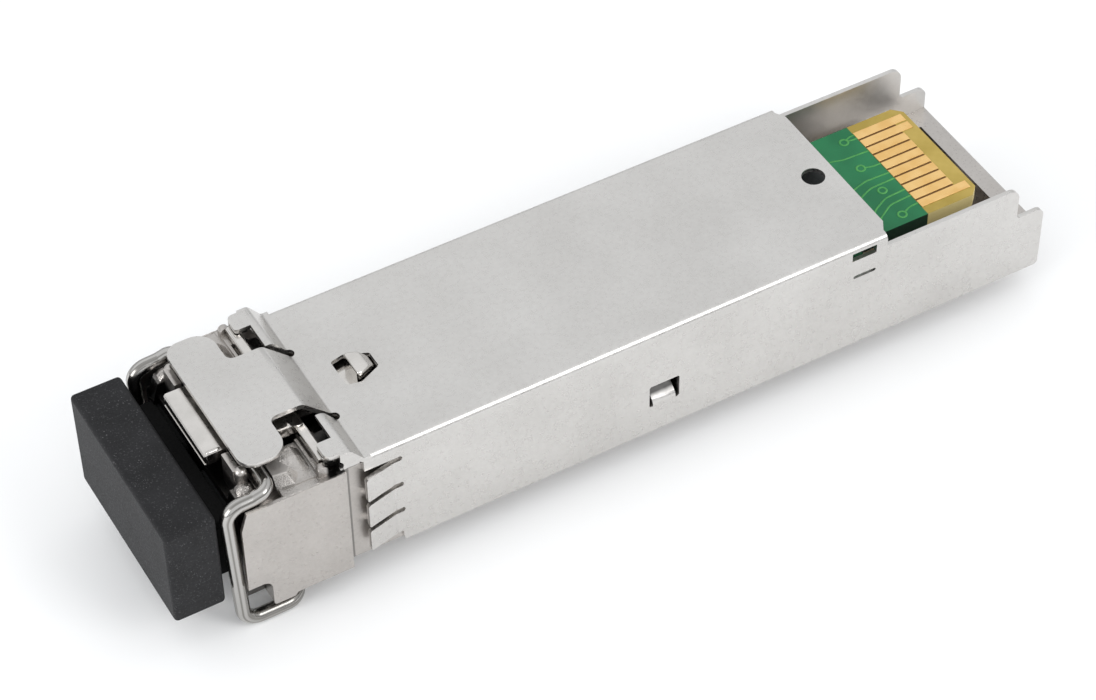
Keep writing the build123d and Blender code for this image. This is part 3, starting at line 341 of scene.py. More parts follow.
def platedCasting(name, s):
    n = Nodes(name)
    grain = n.noise(s["grain"], 3.0, grit=0.6)
    coarse = n.noise(s["coarse"], 1.0)
    cloud = n.noise(s["cloud"])
    drift = n.noise(s["drift"])
    x, y, z = n.axes()
    side = n.math("ABSOLUTE", y)
    # the unpolished deck between the parting lines is coarse; the outer skins are smooth
    front = n.band(x, *s["deckX"])
    onLedge = n.ramp(z, s["ledgeTop"] - 0.03, s["ledgeTop"] + 0.03, 1.0, s["ledgeShare"])
    deck = n.times(n.ramp(z, *s["deckZ"]), n.ramp(side, *s["deckSide"]), front,
                   n.ramp(y, *s["farY"], 1.0, s["farShare"]), onLedge)
    rib = n.times(n.ramp(x, *s["ribX"]), n.band(side, *s["ribSide"]), n.ramp(z, *s["ribZ"]))
    joint = n.band(x, *s["jointX"])
    coarseHere = n.most(deck, rib, n.times(joint, s["jointShare"]))
    # painted shade: the rough pits are real, but they are painted thicker beside the ledge, along the
    # lever's bar and under the plate, where shade falls, and on the rib
    wobble = n.times(n.math("SUBTRACT", drift, 0.5), s["wobble"])
    along = n.total(x, wobble)
    byLedge = n.times(n.ramp(along, *s["ledgeShadeX"]), n.ramp(side, *s["ledgeShadeSide"]))
    byBar = n.times(n.ramp(along, *s["barShadeX"], 0.0, s["shadeMost"]),
                    n.ramp(x, *s["barShadeEnd"]))
    underPlate = n.ramp(n.total(side, wobble), *s["plateShadeSide"], 0.0, s["shadeMost"])
    thick = n.most(byLedge, byBar, underPlate, rib)
    base = n.mix(n.ramp(n.blend(cloud, grain, 0.5), *clouds), s["dark"], s["light"])
    limit = n.math("SUBTRACT", s["pitLimit"], n.times(thick, s["shadeLimit"]))
    pits = n.times(n.ramp(n.math("SUBTRACT", coarse, limit), 0.0, s["pitEdge"]), coarseHere)
    base = n.mix(n.times(pits, s["pitShare"]), base, s["pit"])
    # painted shade: the pockets round the bail and under the lever, at the lug and behind the lever's
    # bar, are painted near black where shade falls
    pocketFront = n.times(n.ramp(x, *s["frontX"]), n.ramp(side, *s["frontSide"]))
    pocketMiddle = n.times(n.ramp(x, *s["middleX"]), n.ramp(side, *s["middleSide"]))
    deep = n.times(n.most(pocketFront, pocketMiddle), n.ramp(z, *s["pocketZ"]))
    lug = n.times(n.band(x, *s["lugX"]), n.band(side, *s["lugSide"]), n.ramp(z, *s["lugZ"]))
    behindBar = n.times(n.band(x, *s["barX"]), n.ramp(side, *s["barSide"]), n.ramp(z, *s["barZ"]))
    # painted shade: a dark line painted where the nose steps down to the shell's seat, at the foot of the
    # step
    stepShade = n.times(n.band(x, *s["stepShadeX"]), n.band(side, *s["stepShadeSide"]),
                   n.ramp(z, *s["stepShadeZ"], 0.0, s["stepShadeMost"]))
    pocketShade = n.most(deep, lug, behindBar, stepShade)
    base = n.mix(n.times(pocketShade, s["pocketShadeShare"]), base, s["pocketShade"])
    ledge = n.times(n.ramp(z, s["ledgeTop"], s["ledgeTop"] + 0.05), front)
    rough = n.total(n.ramp(grain, *middle, *s["rough"]), n.times(coarseHere, s["coarseRough"]),
                    n.times(ledge, s["ledgeRough"]))
    n.bump(n.total(n.times(grain, s["grainLift"]), n.times(coarse, coarseHere, s["coarseLift"])),
           *s["bump"])
    return n.set(metal=1.0, color=base, rough=rough)


# the wire's dark tone is partly painted reflection of dark surroundings
wireLook = {"light": (0.50, 0.488, 0.47), "dark": (0.26, 0.25, 0.235), "tones": (0.44, 0.58),
            "lines": 2.3, "spots": 5.0, "lineShare": 0.6, "rough": (0.14, 0.24), "bump": (0.10, 0.015)}


def brightWire(s):
    n = Nodes("brightWire")
    # dark lines run along the wire, partly drawn-wire lines and partly painted reflection of the dark
    # surroundings: its mesh holds the direction round the wire as "around"
    around = n.add("ShaderNodeAttribute")
    around.attribute_name = "around"
    lines = n.noise(s["lines"], source=around.outputs["Vector"])
    base = n.mix(n.ramp(lines, *s["tones"]), s["light"], s["dark"])
    n.bump(n.blend(lines, n.noise(s["spots"]), s["lineShare"]), *s["bump"])
    return n.set(metal=1.0, color=base, rough=n.ramp(lines, *middle, *s["rough"]))


polishLook = {"light": (0.69, 0.665, 0.635), "dark": (0.61, 0.588, 0.56), "soft": 0.8, "fine": 6.0,
              "softShare": 0.8, "rough": (0.10, 0.2), "bump": (0.12, 0.03)}


def polishedMetal(s):
    n = Nodes("polishedMetal")
    soft = n.noise(s["soft"])
    fine = n.noise(s["fine"])
    base = n.mix(n.ramp(soft, *clouds), s["light"], s["dark"])
    n.bump(n.blend(soft, fine, s["softShare"]), *s["bump"])
    return n.set(metal=1.0, color=base, rough=n.ramp(fine, *middle, *s["rough"]))


rubberLook = {
    "dark": (0.004, 0.004, 0.005), "light": (0.010, 0.010, 0.0115), "soft": 0.5, "fine": 7.0,
    "speck": (0.17, 0.17, 0.175), "cells": 5.5, "cellDrift": 1.1, "cellReach": (0.02, 0.20),
    "cellShare": 0.6, "small": 9.0, "smallShare": 0.28,
    "shade": (0.003, 0.003, 0.003), "neckX": -26.98, "neckRough": 0.25,
    "rough": (0.55, 0.72), "bump": (0.35, 0.03), "specular": 0.33,
}


def blackRubber(s):
    n = Nodes("blackRubber")
    soft = n.noise(s["soft"], 3.0)
    fine = n.noise(s["fine"], 3.0, grit=0.7)
    # two kinds of pale dust: round grains of uneven size, and a fine haze
    cells = n.add("ShaderNodeTexVoronoi")
    cells.inputs["Scale"].default_value = s["cells"]
    n.link(n.place.outputs[0], cells.inputs["Vector"])
    reach = n.ramp(n.noise(s["cellDrift"]), 0.42, 0.75, *s["cellReach"])
    grains = n.math("LESS_THAN", cells.outputs["Distance"], reach)
    haze = n.ramp(n.noise(s["small"], grit=0.6), 0.60, 0.74, 0.0, s["smallShare"])
    base = n.mix(n.ramp(soft, *middle), s["dark"], s["light"])
    base = n.mix(haze, base, s["speck"])
    base = n.mix(n.times(grains, s["cellShare"]), base, s["speck"])
    # painted shade: the neck and the prongs are painted darker behind the head, where shade falls
    neck = n.ramp(n.axes()[0], s["neckX"] - 0.02, s["neckX"] + 0.02)
    base = n.mix(neck, base, s["shade"])
    n.bump(fine, *s["bump"])
    rough = n.total(n.ramp(fine, *middle, *s["rough"]), n.times(neck, s["neckRough"]))
    return n.set(color=base, rough=rough, specular=s["specular"])


boardLook = {
    # painted shade on the masked cut sides, painted light on the bare cut sides
    "mask": (0.015, 0.205, 0.075), "maskDeep": (0.008, 0.15, 0.054), "maskSideShade": (0.008, 0.035, 0.018),
    "bare": (0.47, 0.345, 0.085), "bareDeep": (0.37, 0.265, 0.050), "bareSideLit": (0.80, 0.66, 0.30),
    # painted shade: the darker brown between the contacts
    "maskEnd": 22.81, "gapShade": (0.14, 0.065, 0.012), "gapEnd": 25.66, "gapHalf": 3.92,
    "cloud": 0.35, "weave": 9.0, "weaveShare": 0.025, "flat": (0.5, 0.8),
    "rough": 0.5, "maskSmooth": 0.10, "specular": 0.3, "bump": (0.03, 0.02),
}


def greenLaminate(s):
    n = Nodes("greenLaminate")
    x, y, z = n.axes()
    soft = n.noise(s["cloud"])
    weave = n.times(n.math("SINE", n.times(x, s["weave"])), n.math("SINE", n.times(y, s["weave"])))
    cloud = n.total(soft, n.times(weave, s["weaveShare"]))
    maskColor = n.mix(n.ramp(soft, *clouds), s["maskDeep"], s["mask"])
    bareColor = n.mix(n.ramp(cloud, *clouds), s["bareDeep"], s["bare"])
    tip = n.ramp(x, s["maskEnd"] - 0.02, s["maskEnd"] + 0.02)
    masked = n.math("SUBTRACT", 1.0, tip)
    flat = n.ramp(n.math("ABSOLUTE", n.normal()[2]), *s["flat"])
    # painted shade: darker brown between the contacts; painted light: paler cut sides
    within = n.math("LESS_THAN", n.math("ABSOLUTE", y), s["gapHalf"])
    gapShade = n.times(tip, within, n.ramp(x, s["gapEnd"], s["gapEnd"] - 0.03))
    bareColor = n.mix(gapShade, bareColor, s["gapShade"])
    # painted light: the bare cut sides are painted paler; painted shade: the cut sides of the masked part
    # are painted near black
    bareColor = n.mix(flat, s["bareSideLit"], bareColor)
    bareColor = n.mix(n.times(n.math("SUBTRACT", 1.0, flat), masked), bareColor, s["maskSideShade"])
    green = n.times(masked, flat)
    base = n.mix(green, bareColor, maskColor)
    n.bump(weave, *s["bump"])
    rough = n.math("SUBTRACT", s["rough"], n.times(green, s["maskSmooth"]))
    return n.set(color=base, rough=rough, specular=s["specular"])


copperLook = {"dark": (0.055, 0.30, 0.075), "light": (0.085, 0.37, 0.09), "cloud": 2.0}


def copperUnderMask(s):
    n = Nodes("copperUnderMask")
    base = n.mix(n.ramp(n.noise(s["cloud"]), *clouds), s["dark"], s["light"])
    return n.set(color=base, rough=0.4, specular=0.3)


filmLook = {"film": (0.42, 0.19, 0.035), "track": (0.60, 0.33, 0.10), "pitch": 9.0}


def amberFilm(s):
    n = Nodes("amberFilm")
    tracks = n.ramp(n.math("SINE", n.times(n.axes()[1], s["pitch"])), 0.55, 0.7)
    n.bump(tracks, 0.2, 0.02)
    return n.set(color=n.mix(tracks, s["film"], s["track"]), rough=0.3, coat=0.5, coatRough=0.1)


# metals with fine streaks: along the contacts, or round the turned parts
streakLooks = {
    "goldPlate": {"dark": (0.83, 0.52, 0.19), "light": (0.90, 0.60, 0.25),
                  "stretch": (0.5, 14.0, 1.0), "rough": (0.26, 0.42), "bump": (0.10, 0.01)},
    "barrelSteel": {"dark": (0.52, 0.52, 0.52), "light": (0.64, 0.64, 0.63),
                    "stretch": (14.0, 0.6, 0.6), "rough": (0.16, 0.3), "bump": (0.15, 0.015)},
    "canMetal": {"dark": (0.75, 0.50, 0.18), "light": (0.85, 0.60, 0.27),
                 "stretch": (14.0, 0.6, 0.6), "rough": (0.16, 0.3), "bump": (0.15, 0.015)},
}


def streakedMetal(name, s):
    n = Nodes(name)
    streaks = n.noise(1.0, stretch=s["stretch"])
    base = n.mix(n.ramp(n.noise(1.0), *clouds), s["dark"], s["light"])
    n.bump(streaks, *s["bump"])
    return n.set(metal=1.0, color=base, rough=n.ramp(streaks, *middle, *s["rough"]))


# plain finishes with a fine grain: scale, detail and grit of its noise
grainLooks = {
    "blackPackage": {"dark": (0.016, 0.016, 0.018), "light": (0.030, 0.030, 0.033),
                     "grain": (9.0, 3.0, 0.7), "rough": (0.42, 0.58), "bump": (0.3, 0.02)},
    "tanCeramic": {"dark": (0.30, 0.19, 0.10), "light": (0.42, 0.28, 0.16),
                   "grain": (6.0, 2.0, 0.5), "rough": (0.45, 0.45), "bump": (0.15, 0.02)},
    "darkCeramic": {"dark": (0.02, 0.02, 0.022), "light": (0.05, 0.05, 0.055),
                    "grain": (6.0, 2.0, 0.5), "rough": (0.45, 0.45), "bump": (0.15, 0.02)},
    "greyPad": {"dark": (0.17, 0.19, 0.21), "light": (0.24, 0.26, 0.28),
                "grain": (5.0, 3.0, 0.5), "rough": (0.85, 0.85), "bump": (0.4, 0.04)},
    "zirconia": {"dark": (0.72, 0.70, 0.66), "light": (0.80, 0.79, 0.76), "coat": 0.3,
                 "grain": (4.0, 2.0, 0.5), "rough": (0.18, 0.18), "bump": (0.08, 0.01)},
}


def grained(name, s):
    n = Nodes(name)
    fine = n.noise(*s["grain"])
    base = n.mix(n.ramp(fine, *middle), s["dark"], s["light"])
    n.bump(fine, *s["bump"])
    return n.set(color=base, rough=n.ramp(fine, *middle, *s["rough"]),
                 coat=s.get("coat", 0.0), coatRough=0.1)


streaked = {name: streakedMetal(name, s) for name, s in streakLooks.items()}
plain = {name: grained(name, s) for name, s in grainLooks.items()}
looks = {
    "nickel_sheet": nickelSheet(sheetLook),
    "plated_casting": platedCasting("platedCasting", castLook),
    "bright_wire": brightWire(wireLook),
    "polished_metal": polishedMetal(polishLook),
    "black_rubber": blackRubber(rubberLook),
    "green_laminate": greenLaminate(boardLook),
    "gold_plate": streaked["goldPlate"],
    "black_package": plain["blackPackage"],
    "tan_ceramic": plain["tanCeramic"],
    "dark_ceramic": plain["darkCeramic"],
    "grey_pad": plain["greyPad"],
    "barrel_steel": streaked["barrelSteel"],
    "can_metal": streaked["canMetal"],
    "amber_film": amberFilm(filmLook),
    "white_ceramic": plain["zirconia"],
}
maskCopper = copperUnderMask(copperLook)
# the lumps at the ribs are coarse all over and have no painted pocket shade
moundLook = dict(castLook, deckZ=(9.3, 9.55), frontX=(-59.85, -60.15), deckX=(-26.5, -22.0, 0.4, 0.4))
roughCasting = platedCasting("roughCasting", moundLook)

slotOf = {r["node"]: r["material_slot"] for r in frame["record"]["subparts"]}
for name, node in frame["nodes"].items():
    node.data.materials.clear()
    node.data.materials.append(looks[slotOf[name]])
print("stage 3: materials")


# shared mesh helpers
def newObject(name, mesh, body, slotName, replaced=(), material=None):
    obj = bpy.data.objects.new(name, mesh)
    scene.collection.objects.link(obj)
    mesh.materials.clear()
    mesh.materials.append(material or looks[slotName])
    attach(obj, body)
    if replaced:
        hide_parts(*replaced)


def evaluated(name, helper):
    # hands back what the helper's modifiers make, as a plain mesh, and removes the helper
    bpy.context.view_layer.update()
    deps = bpy.context.evaluated_depsgraph_get()
    result = bpy.data.meshes.new_from_object(helper.evaluated_get(deps))
    bpy.data.objects.remove(helper)
    result.name = name
    return result


def baked(name, mesh, modifiers):
    helper = bpy.data.objects.new(name + "Helper", mesh)
    scene.collection.objects.link(helper)
    for kind, values in modifiers:
        mod = helper.modifiers.new(kind.title(), kind)
        for key, v in values.items():
            setattr(mod, key, v)
    return evaluated(name, helper)


def cadCopy(node):
    bm = bmesh.new()
    bm.from_mesh(frame["nodes"][node].data)
    bmesh.ops.remove_doubles(bm, verts=bm.verts, dist=1e-6)
    bmesh.ops.dissolve_limit(bm, angle_limit=math.radians(0.6), verts=bm.verts, edges=bm.edges)
    return meshFrom(node + "Copy", bm)


def meshFrom(name, bm):
    mesh = bpy.data.meshes.new(name)
    bm.to_mesh(mesh)
    bm.free()
    return mesh


def softEdges(name, mesh, s):
    for p in mesh.polygons:
        p.use_smooth = True
    return baked(name, mesh, (
        ("BEVEL", {"width": s["edge"] * mm, "segments": s["segments"], "limit_method": "ANGLE",
                   "angle_limit": math.radians(s.get("angle", 28)), "harden_normals": True,
                   "use_clamp_overlap": True, "miter_outer": "MITER_ARC"}),
        ("WEIGHTED_NORMAL", {"mode": "FACE_AREA", "weight": 50, "keep_sharp": False}),
    ))


def roundedBox(bm, low, high, width, segments):
    made = bmesh.ops.create_cube(bm, size=1.0)["verts"]
    size, centre = high - low, (high + low) / 2
    for v in made:
        v.co = Vector((v.co.x * size.x, v.co.y * size.y, v.co.z * size.z)) + centre
    picked = set(made)
    edges = [e for e in bm.edges if picked.issuperset(e.verts)]
    bmesh.ops.bevel(bm, geom=edges, offset=width * mm, segments=segments, profile=0.5, affect="EDGES")


def tube(bm, rings):
    # closed skin over rings of vertices, with both ends capped
    count = len(rings[0])
    for a, b in zip(rings, rings[1:]):
        for k in range(count):
            bm.faces.new((a[k], a[(k + 1) % count], b[(k + 1) % count], b[k]))
    bm.faces.new(rings[0][::-1])
    bm.faces.new(rings[-1])


def closeUp(bm, smooth):
    # turns all faces outwards and sets which of them are shaded smooth
    bmesh.ops.recalc_face_normals(bm, faces=bm.faces)
    for f in bm.faces:
        f.smooth = smooth(f)


def isQuad(face):
    return len(face.verts) == 4


# geometry node helpers
class Tree:
    def __init__(self, name, inputs):
        self.tree = bpy.data.node_groups.new(name, "GeometryNodeTree")
        face = self.tree.interface
        face.new_socket("Geometry", in_out="INPUT", socket_type="NodeSocketGeometry")
        for label, kind, value in inputs:
            s = face.new_socket(label, in_out="INPUT", socket_type="NodeSocket" + kind)
            if kind != "Material":
                s.default_value = value
        face.new_socket("Geometry", in_out="OUTPUT", socket_type="NodeSocketGeometry")
        self.start = self.add("NodeGroupInput")
        self.end = self.add("NodeGroupOutput")

    def add(self, kind, **values):
        n = self.tree.nodes.new(kind)
        for key, v in values.items():
            setattr(n, key, v)
        return n

    def link(self, a, b):
        self.tree.links.new(a, b)

    def finish(self, geometry):
        real = self.add("GeometryNodeRealizeInstances")
        paint = self.add("GeometryNodeSetMaterial")
        self.link(geometry, real.inputs[0])
        self.link(real.outputs[0], paint.inputs["Geometry"])
        self.link(self.start.outputs["Material"], paint.inputs["Material"])
        self.link(paint.outputs[0], self.end.inputs[0])
        return self.tree


def grown(name, tree, mesh, values):
    # runs a tree on a helper object with named values
    helper = bpy.data.objects.new(name + "Helper", mesh)
    scene.collection.objects.link(helper)
    mod = helper.modifiers.new("Grow", "NODES")
    mod.node_group = tree
    ids = {i.name: i.identifier for i in tree.interface.items_tree if i.in_out == "INPUT"}
    for label, v in values.items():
        mod[ids[label]] = v
    return evaluated(name, helper)


def pointsMesh(points):
    mesh = bpy.data.meshes.new("points")
    mesh.from_pydata([tuple(p) for p in points], [], [])
    return mesh


def linesMesh(lines):
    verts, edges = [], []
    for line in lines:
        first = len(verts)
        verts += [tuple(p) for p in line]
        edges += [(first + i, first + i + 1) for i in range(len(line) - 1)]
    mesh = bpy.data.meshes.new("lines")
    mesh.from_pydata(verts, edges, [])
    return mesh


# folded shell
shellSizes = {"edge": 0.05, "segments": 2}
newObject("folded_shell", softEdges("foldedShell", cadCopy("shell"), shellSizes),
          "module", "nickel_sheet", ("shell",))
print("stage 4: folded shell")

# cast nose and tray, with the flash that the mould leaves along its parting line
castSizes = {"edge": 0.06, "segments": 2}
newObject("cast_nose", softEdges("castNose", cadCopy("base_casting"), castSizes),
          "module", "plated_casting", ("base_casting",))
flashSizes = {"from": 3.55, "to": 7.1, "z": 8.19, "y": 6.985, "foot": 0.05, "out": 0.012,
              "step": 0.06, "width": 0.07, "height": 0.06, "seed": 7}


def partingFlash(s):
    draw = random.Random(s["seed"])
    bm = bmesh.new()
    count = int((s["to"] - s["from"]) / s["step"])
    low = s["z"] - s["foot"]
    for side in (1, -1):
        rings = []
        for i in range(count + 1):
            x = s["from"] + i * s["step"]
            rise = s["height"] * draw.uniform(0.25, 1.0)
            half = s["width"] * draw.uniform(0.6, 1.0) / 2
            ring = ((x, side * (s["y"] - half), low), (x, side * (s["y"] - half), s["z"] + rise * 0.6),
                    (x, side * s["y"], s["z"] + rise), (x, side * (s["y"] + s["out"]), low))
            rings.append([bm.verts.new(at(*p)) for p in ring])
        tube(bm, rings)
    bmesh.ops.recalc_face_normals(bm, faces=bm.faces)
    return meshFrom("partingFlash", bm)


newObject("parting_flash", partingFlash(flashSizes), "module", "plated_casting")
print("stage 5: cast nose")

# rough cast pads, one of each on both sides: the slope from the raised ledge down to the parting
# line, and a lump at the foot of each rounded rib
slopeSizes = {"x": (3.25, 5.55), "y": (4.0, 6.9), "steps": (46, 58), "foot": 8.0,
              "low": 8.2, "rise": 0.58, "shoulder": 4.7, "curve": 1.7, "endEase": 0.5, "endShare": 0.35,
              "grain": 0.016, "farGrain": 0.003, "seed": 11}
moundSizes = {"x": (1.0, 2.12), "y": (4.85, 5.8), "steps": (24, 20), "foot": 7.9,
              "low": 8.12, "rise": 0.55, "centre": (1.55, 5.2), "spread": 0.66, "curve": 0.8,
              "grain": 0.03, "farGrain": 0.03, "seed": 5}


def slopeHeight(s, x, y):
    t = min(1.0, max(0.0, (s["y"][1] - y) / (s["y"][1] - s["shoulder"])))
    ease = min(1.0, max(0.0, (s["x"][1] - x) / s["endEase"]))
    return s["low"] + s["rise"] * t ** s["curve"] * (s["endShare"] + (1 - s["endShare"]) * ease)


def moundHeight(s, x, y):
    away = ((x - s["centre"][0]) ** 2 + (y - s["centre"][1]) ** 2) / s["spread"] ** 2
    return s["low"] + s["rise"] * max(0.0, 1.0 - away) ** s["curve"]


def roughPad(name, s, height):
    draw = random.Random(s["seed"])
    bm = bmesh.new()
    nx, ny = s["steps"]
    for side in (1, -1):
        grain = s["grain" if side < 0 else "farGrain"]
        rows = []
        for i in range(nx + 1):
            x = s["x"][0] + (s["x"][1] - s["x"][0]) * i / nx
            row = []
            for j in range(ny + 1):
                y = s["y"][0] + (s["y"][1] - s["y"][0]) * j / ny
                z = height(s, x, y) + draw.uniform(-1, 1) * grain
                row.append(bm.verts.new(at(x, side * y, z)))
            rows.append(row)
        for a, b in zip(rows, rows[1:]):
            for j in range(ny):
                bm.faces.new((a[j], a[j + 1], b[j + 1], b[j]))
        # a skirt down to a flat foot closes the pad
        rim = rows[0] + [r[-1] for r in rows[1:]] + rows[-1][-2::-1] + [r[0] for r in rows[-2:0:-1]]
        base = [bm.verts.new((v.co.x, v.co.y, at(0, 0, s["foot"]).z)) for v in rim]
        count = len(rim)
        for k in range(count):
            bm.faces.new((rim[k], rim[(k + 1) % count], base[(k + 1) % count], base[k]))
        bm.faces.new(base)
    closeUp(bm, isQuad)
    return meshFrom(name, bm)


newObject("deck_slope", roughPad("deckSlope", slopeSizes, slopeHeight), "module", "plated_casting")
newObject("nose_mound", roughPad("noseMound", moundSizes, moundHeight), "module", "plated_casting",
          material=roughCasting)

# bail: one bent wire, two halves that meet under the nose
bailSizes = {
    "radius": 0.45, "sides": 40, "arcSteps": 14, "lineDrift": 0.006,
    "points": ((2.78, 0, 8.25), (2.78, 2.6, 8.25), (2.65, 3.7, 8.78), (2.65, 6.3, 8.78), (1.6, 6.3, 8.5),
               (-0.12, 6.3, 8.4), (0.22, 6.3, -1.55), (4.15, 6.3, -1.55), (4.15, 0.15, -1.55)),
    "bends": (1.0, 1.0, 0.62, 1.0, 0.95, 1.1, 1.2),
}


def bentPath(points, bends, steps):
    points = [Vector(p) for p in points]
    path = [points[0]]
    for a, c, b, r in zip(points, points[1:], points[2:], bends):
        back, ahead = (a - c).normalized(), (b - c).normalized()
        angle = back.angle(ahead)
        reach = r / math.tan(angle / 2)
        enter, leave = c + back * reach, c + ahead * reach
        centre = c + (back + ahead).normalized() * (r / math.sin(angle / 2))
        u, w = enter - centre, leave - centre
        turn = u.angle(w)
        for i in range(steps + 1):
            t = i / steps
            path.append(centre + (u * math.sin((1 - t) * turn) + w * math.sin(t * turn)) / math.sin(turn))
    path.append(points[-1])
    return path


def wireRings(bm, path, radius, sides):
    rings = []
    last = len(path) - 1
    tangents = [(path[min(i + 1, last)] - path[max(i - 1, 0)]).normalized() for i in range(last + 1)]
    normal = tangents[0].orthogonal().normalized()
    for p, tangent in zip(path, tangents):
        normal = (normal - tangent * normal.dot(tangent)).normalized()
        across = tangent.cross(normal)
        rings.append([bm.verts.new(p + (normal * math.cos(a) + across * math.sin(a)) * radius)
                      for a in (2 * math.pi * k / sides for k in range(sides))])
    tube(bm, rings)
    return rings


def bailMesh(s):
    bm = bmesh.new()
    half = bentPath(s["points"], s["bends"], s["arcSteps"])
    other = [Vector((p.x, -p.y, p.z)) for p in half]
    path = [at(*p) for p in other[::-1] + half[1:]]
    wireRings(bm, path, s["radius"] * mm, s["sides"])
    closeUp(bm, isQuad)
    mesh = meshFrom("bailWire", bm)
    around = mesh.attributes.new("around", "FLOAT_VECTOR", "POINT")
    for i, row in enumerate(around.data):
        a = 2 * math.pi * (i % s["sides"]) / s["sides"]
        row.vector = (math.cos(a), math.sin(a), i // s["sides"] * s["lineDrift"])
    return mesh


newObject("bail_wire", bailMesh(bailSizes), "bail", "bright_wire", ("bail",))
print("stage 6: bail")

# latch lever, its boss rounded like a thumb where it comes up through the latch hole
leverSizes = {
    "edge": 0.09, "segments": 3,
    "bossX": (10.9, 12.7), "bossY": 1.1, "bossZ": (8.0, 12), "bossRound": 0.26, "bossAngle": 15,
}


def roundedBoss(mesh, s):
    low = at(s["bossX"][0], -s["bossY"], s["bossZ"][0])
    high = at(s["bossX"][1], s["bossY"], s["bossZ"][1])
    bm = bmesh.new()
    bm.from_mesh(mesh)
    boss = {v for v in bm.verts if all(low[k] < v.co[k] < high[k] for k in range(3))}
    edges = [e for e in bm.edges if boss.issuperset(e.verts) and len(e.link_faces) == 2
             and e.calc_face_angle() > math.radians(s["bossAngle"])]
    bmesh.ops.bevel(bm, geom=edges, offset=s["bossRound"] * mm, segments=5, profile=0.5,
                    affect="EDGES", clamp_overlap=True)
    return meshFrom("roundedBoss", bm)


leverMesh = softEdges("rockingLever", roundedBoss(cadCopy("latch_lever"), leverSizes), leverSizes)
newObject("rocking_lever", leverMesh, "latch_lever", "polished_metal", ("latch_lever",))

# the bead at the near end of the lever's front block and the thin step along its front edge
trimSizes = {
    "beadX": (0.48, 1.42), "beadY": -2.62, "beadZ": 9.37, "beadR": 0.13, "beadSteps": 8, "beadSides": 16,
    "endShare": 0.55, "endIn": 0.02,
    "stepLow": (0.33, -2.70, 8.56), "stepHigh": (0.9, 2.70, 8.64), "stepRound": 0.035,
}


def leverTrim(s):
    bm = bmesh.new()
    x0, x1 = s["beadX"]
    path = [at(x0 + (x1 - x0) * i / s["beadSteps"], s["beadY"], s["beadZ"])
            for i in range(s["beadSteps"] + 1)]
    rings = wireRings(bm, path, s["beadR"] * mm, s["beadSides"])
    for ring, way in ((rings[0], -1), (rings[-1], 1)):
        centre = sum((v.co for v in ring), Vector()) / len(ring)
        for v in ring:
            v.co = centre + (v.co - centre) * s["endShare"] - Vector((way * s["endIn"] * mm, 0, 0))
    roundedBox(bm, at(*s["stepLow"]), at(*s["stepHigh"]), s["stepRound"], 3)
    closeUp(bm, lambda face: True)
    return meshFrom("leverTrim", bm)


newObject("lever_trim", leverTrim(trimSizes), "latch_lever", "polished_metal")
print("stage 7: latch lever")

# dust plug: rounded head, neck and two hollow prongs
plugSizes = {
    "head": ((-4.05, -6.5, 1.05), (-0.8, 6.5, 8.4)), "headRound": 0.28,
    "neck": ((-1.3, -5.3, 2.0), (0.6, 5.3, 6.6)), "neckRound": 0.12,
    "prong": (-0.8, 6.5), "prongHalf": 2.2, "prongRound": 0.5, "cornerSteps": 7, "tipSoft": 0.12,
    "portY": 3.125, "portZ": 4.3, "boreR": 1.62, "boreDepth": 3.4, "mouthSoft": 0.08,
}


def prongRing(s, x, y, less, tighter):
    # a rounded square across the prong, smaller by less and with its corners tighter
    half, corner = s["prongHalf"] - less, s["prongRound"] - tighter
    ring = []
    for quarter in range(4):
        cy = (half - corner) * (1 if quarter in (0, 3) else -1)
        cz = (half - corner) * (1 if quarter in (0, 1) else -1)
        for i in range(s["cornerSteps"] + 1):
            a = quarter * math.pi / 2 + math.pi / 2 * i / s["cornerSteps"]
            ring.append(at(x, y + cy + corner * math.cos(a), s["portZ"] + cz + corner * math.sin(a)))
    return ring


def boreRing(s, x, y, radius):
    # a circle with as many points as the rounded square
    count = 4 * (s["cornerSteps"] + 1)
    angles = [2 * math.pi * (k + 0.5) / count for k in range(count)]
    return [at(x, y + radius * math.cos(a), s["portZ"] + radius * math.sin(a)) for a in angles]


def plugMesh(s):
    bm = bmesh.new()
    for part, segments in (("head", 5), ("neck", 3)):
        low, high = s[part]
        roundedBox(bm, at(*low), at(*high), s[part + "Round"], segments)
    x0, x1 = s["prong"]
    soft, mouth = s["tipSoft"], s["mouthSoft"]
    for y in (s["portY"], -s["portY"]):
        rings = [prongRing(s, x0, y, 0, 0), prongRing(s, x1 - soft, y, 0, 0),
                 prongRing(s, x1 - soft * 0.3, y, soft * 0.3, 0), prongRing(s, x1, y, soft, 0.05),
                 boreRing(s, x1, y, s["boreR"] + mouth), boreRing(s, x1 - mouth, y, s["boreR"]),
                 boreRing(s, x1 - s["boreDepth"], y, s["boreR"])]
        tube(bm, [[bm.verts.new(p) for p in ring] for ring in rings])
    closeUp(bm, lambda face: True)
    shading = ("WEIGHTED_NORMAL", {"keep_sharp": True, "weight": 80})
    return baked("rubberPlug", meshFrom("rubberPlug", bm), (shading,))


newObject("rubber_plug", plugMesh(plugSizes), "dust_plug", "black_rubber", ("dust_plug",))
print("stage 8: dust plug")

# gold contacts on both faces of the card edge
padSizes = {
    "count": 10, "pitch": 0.8, "width": 0.65, "shortEnd": 51.92, "longEnd": 52.7, "start": 49.05,
    "top": 6.27, "bottom": 5.23, "thick": 0.04, "firstLong": 1, "lastLong": 9,
    "edge": 0.015, "segments": 2, "angle": 40,
}


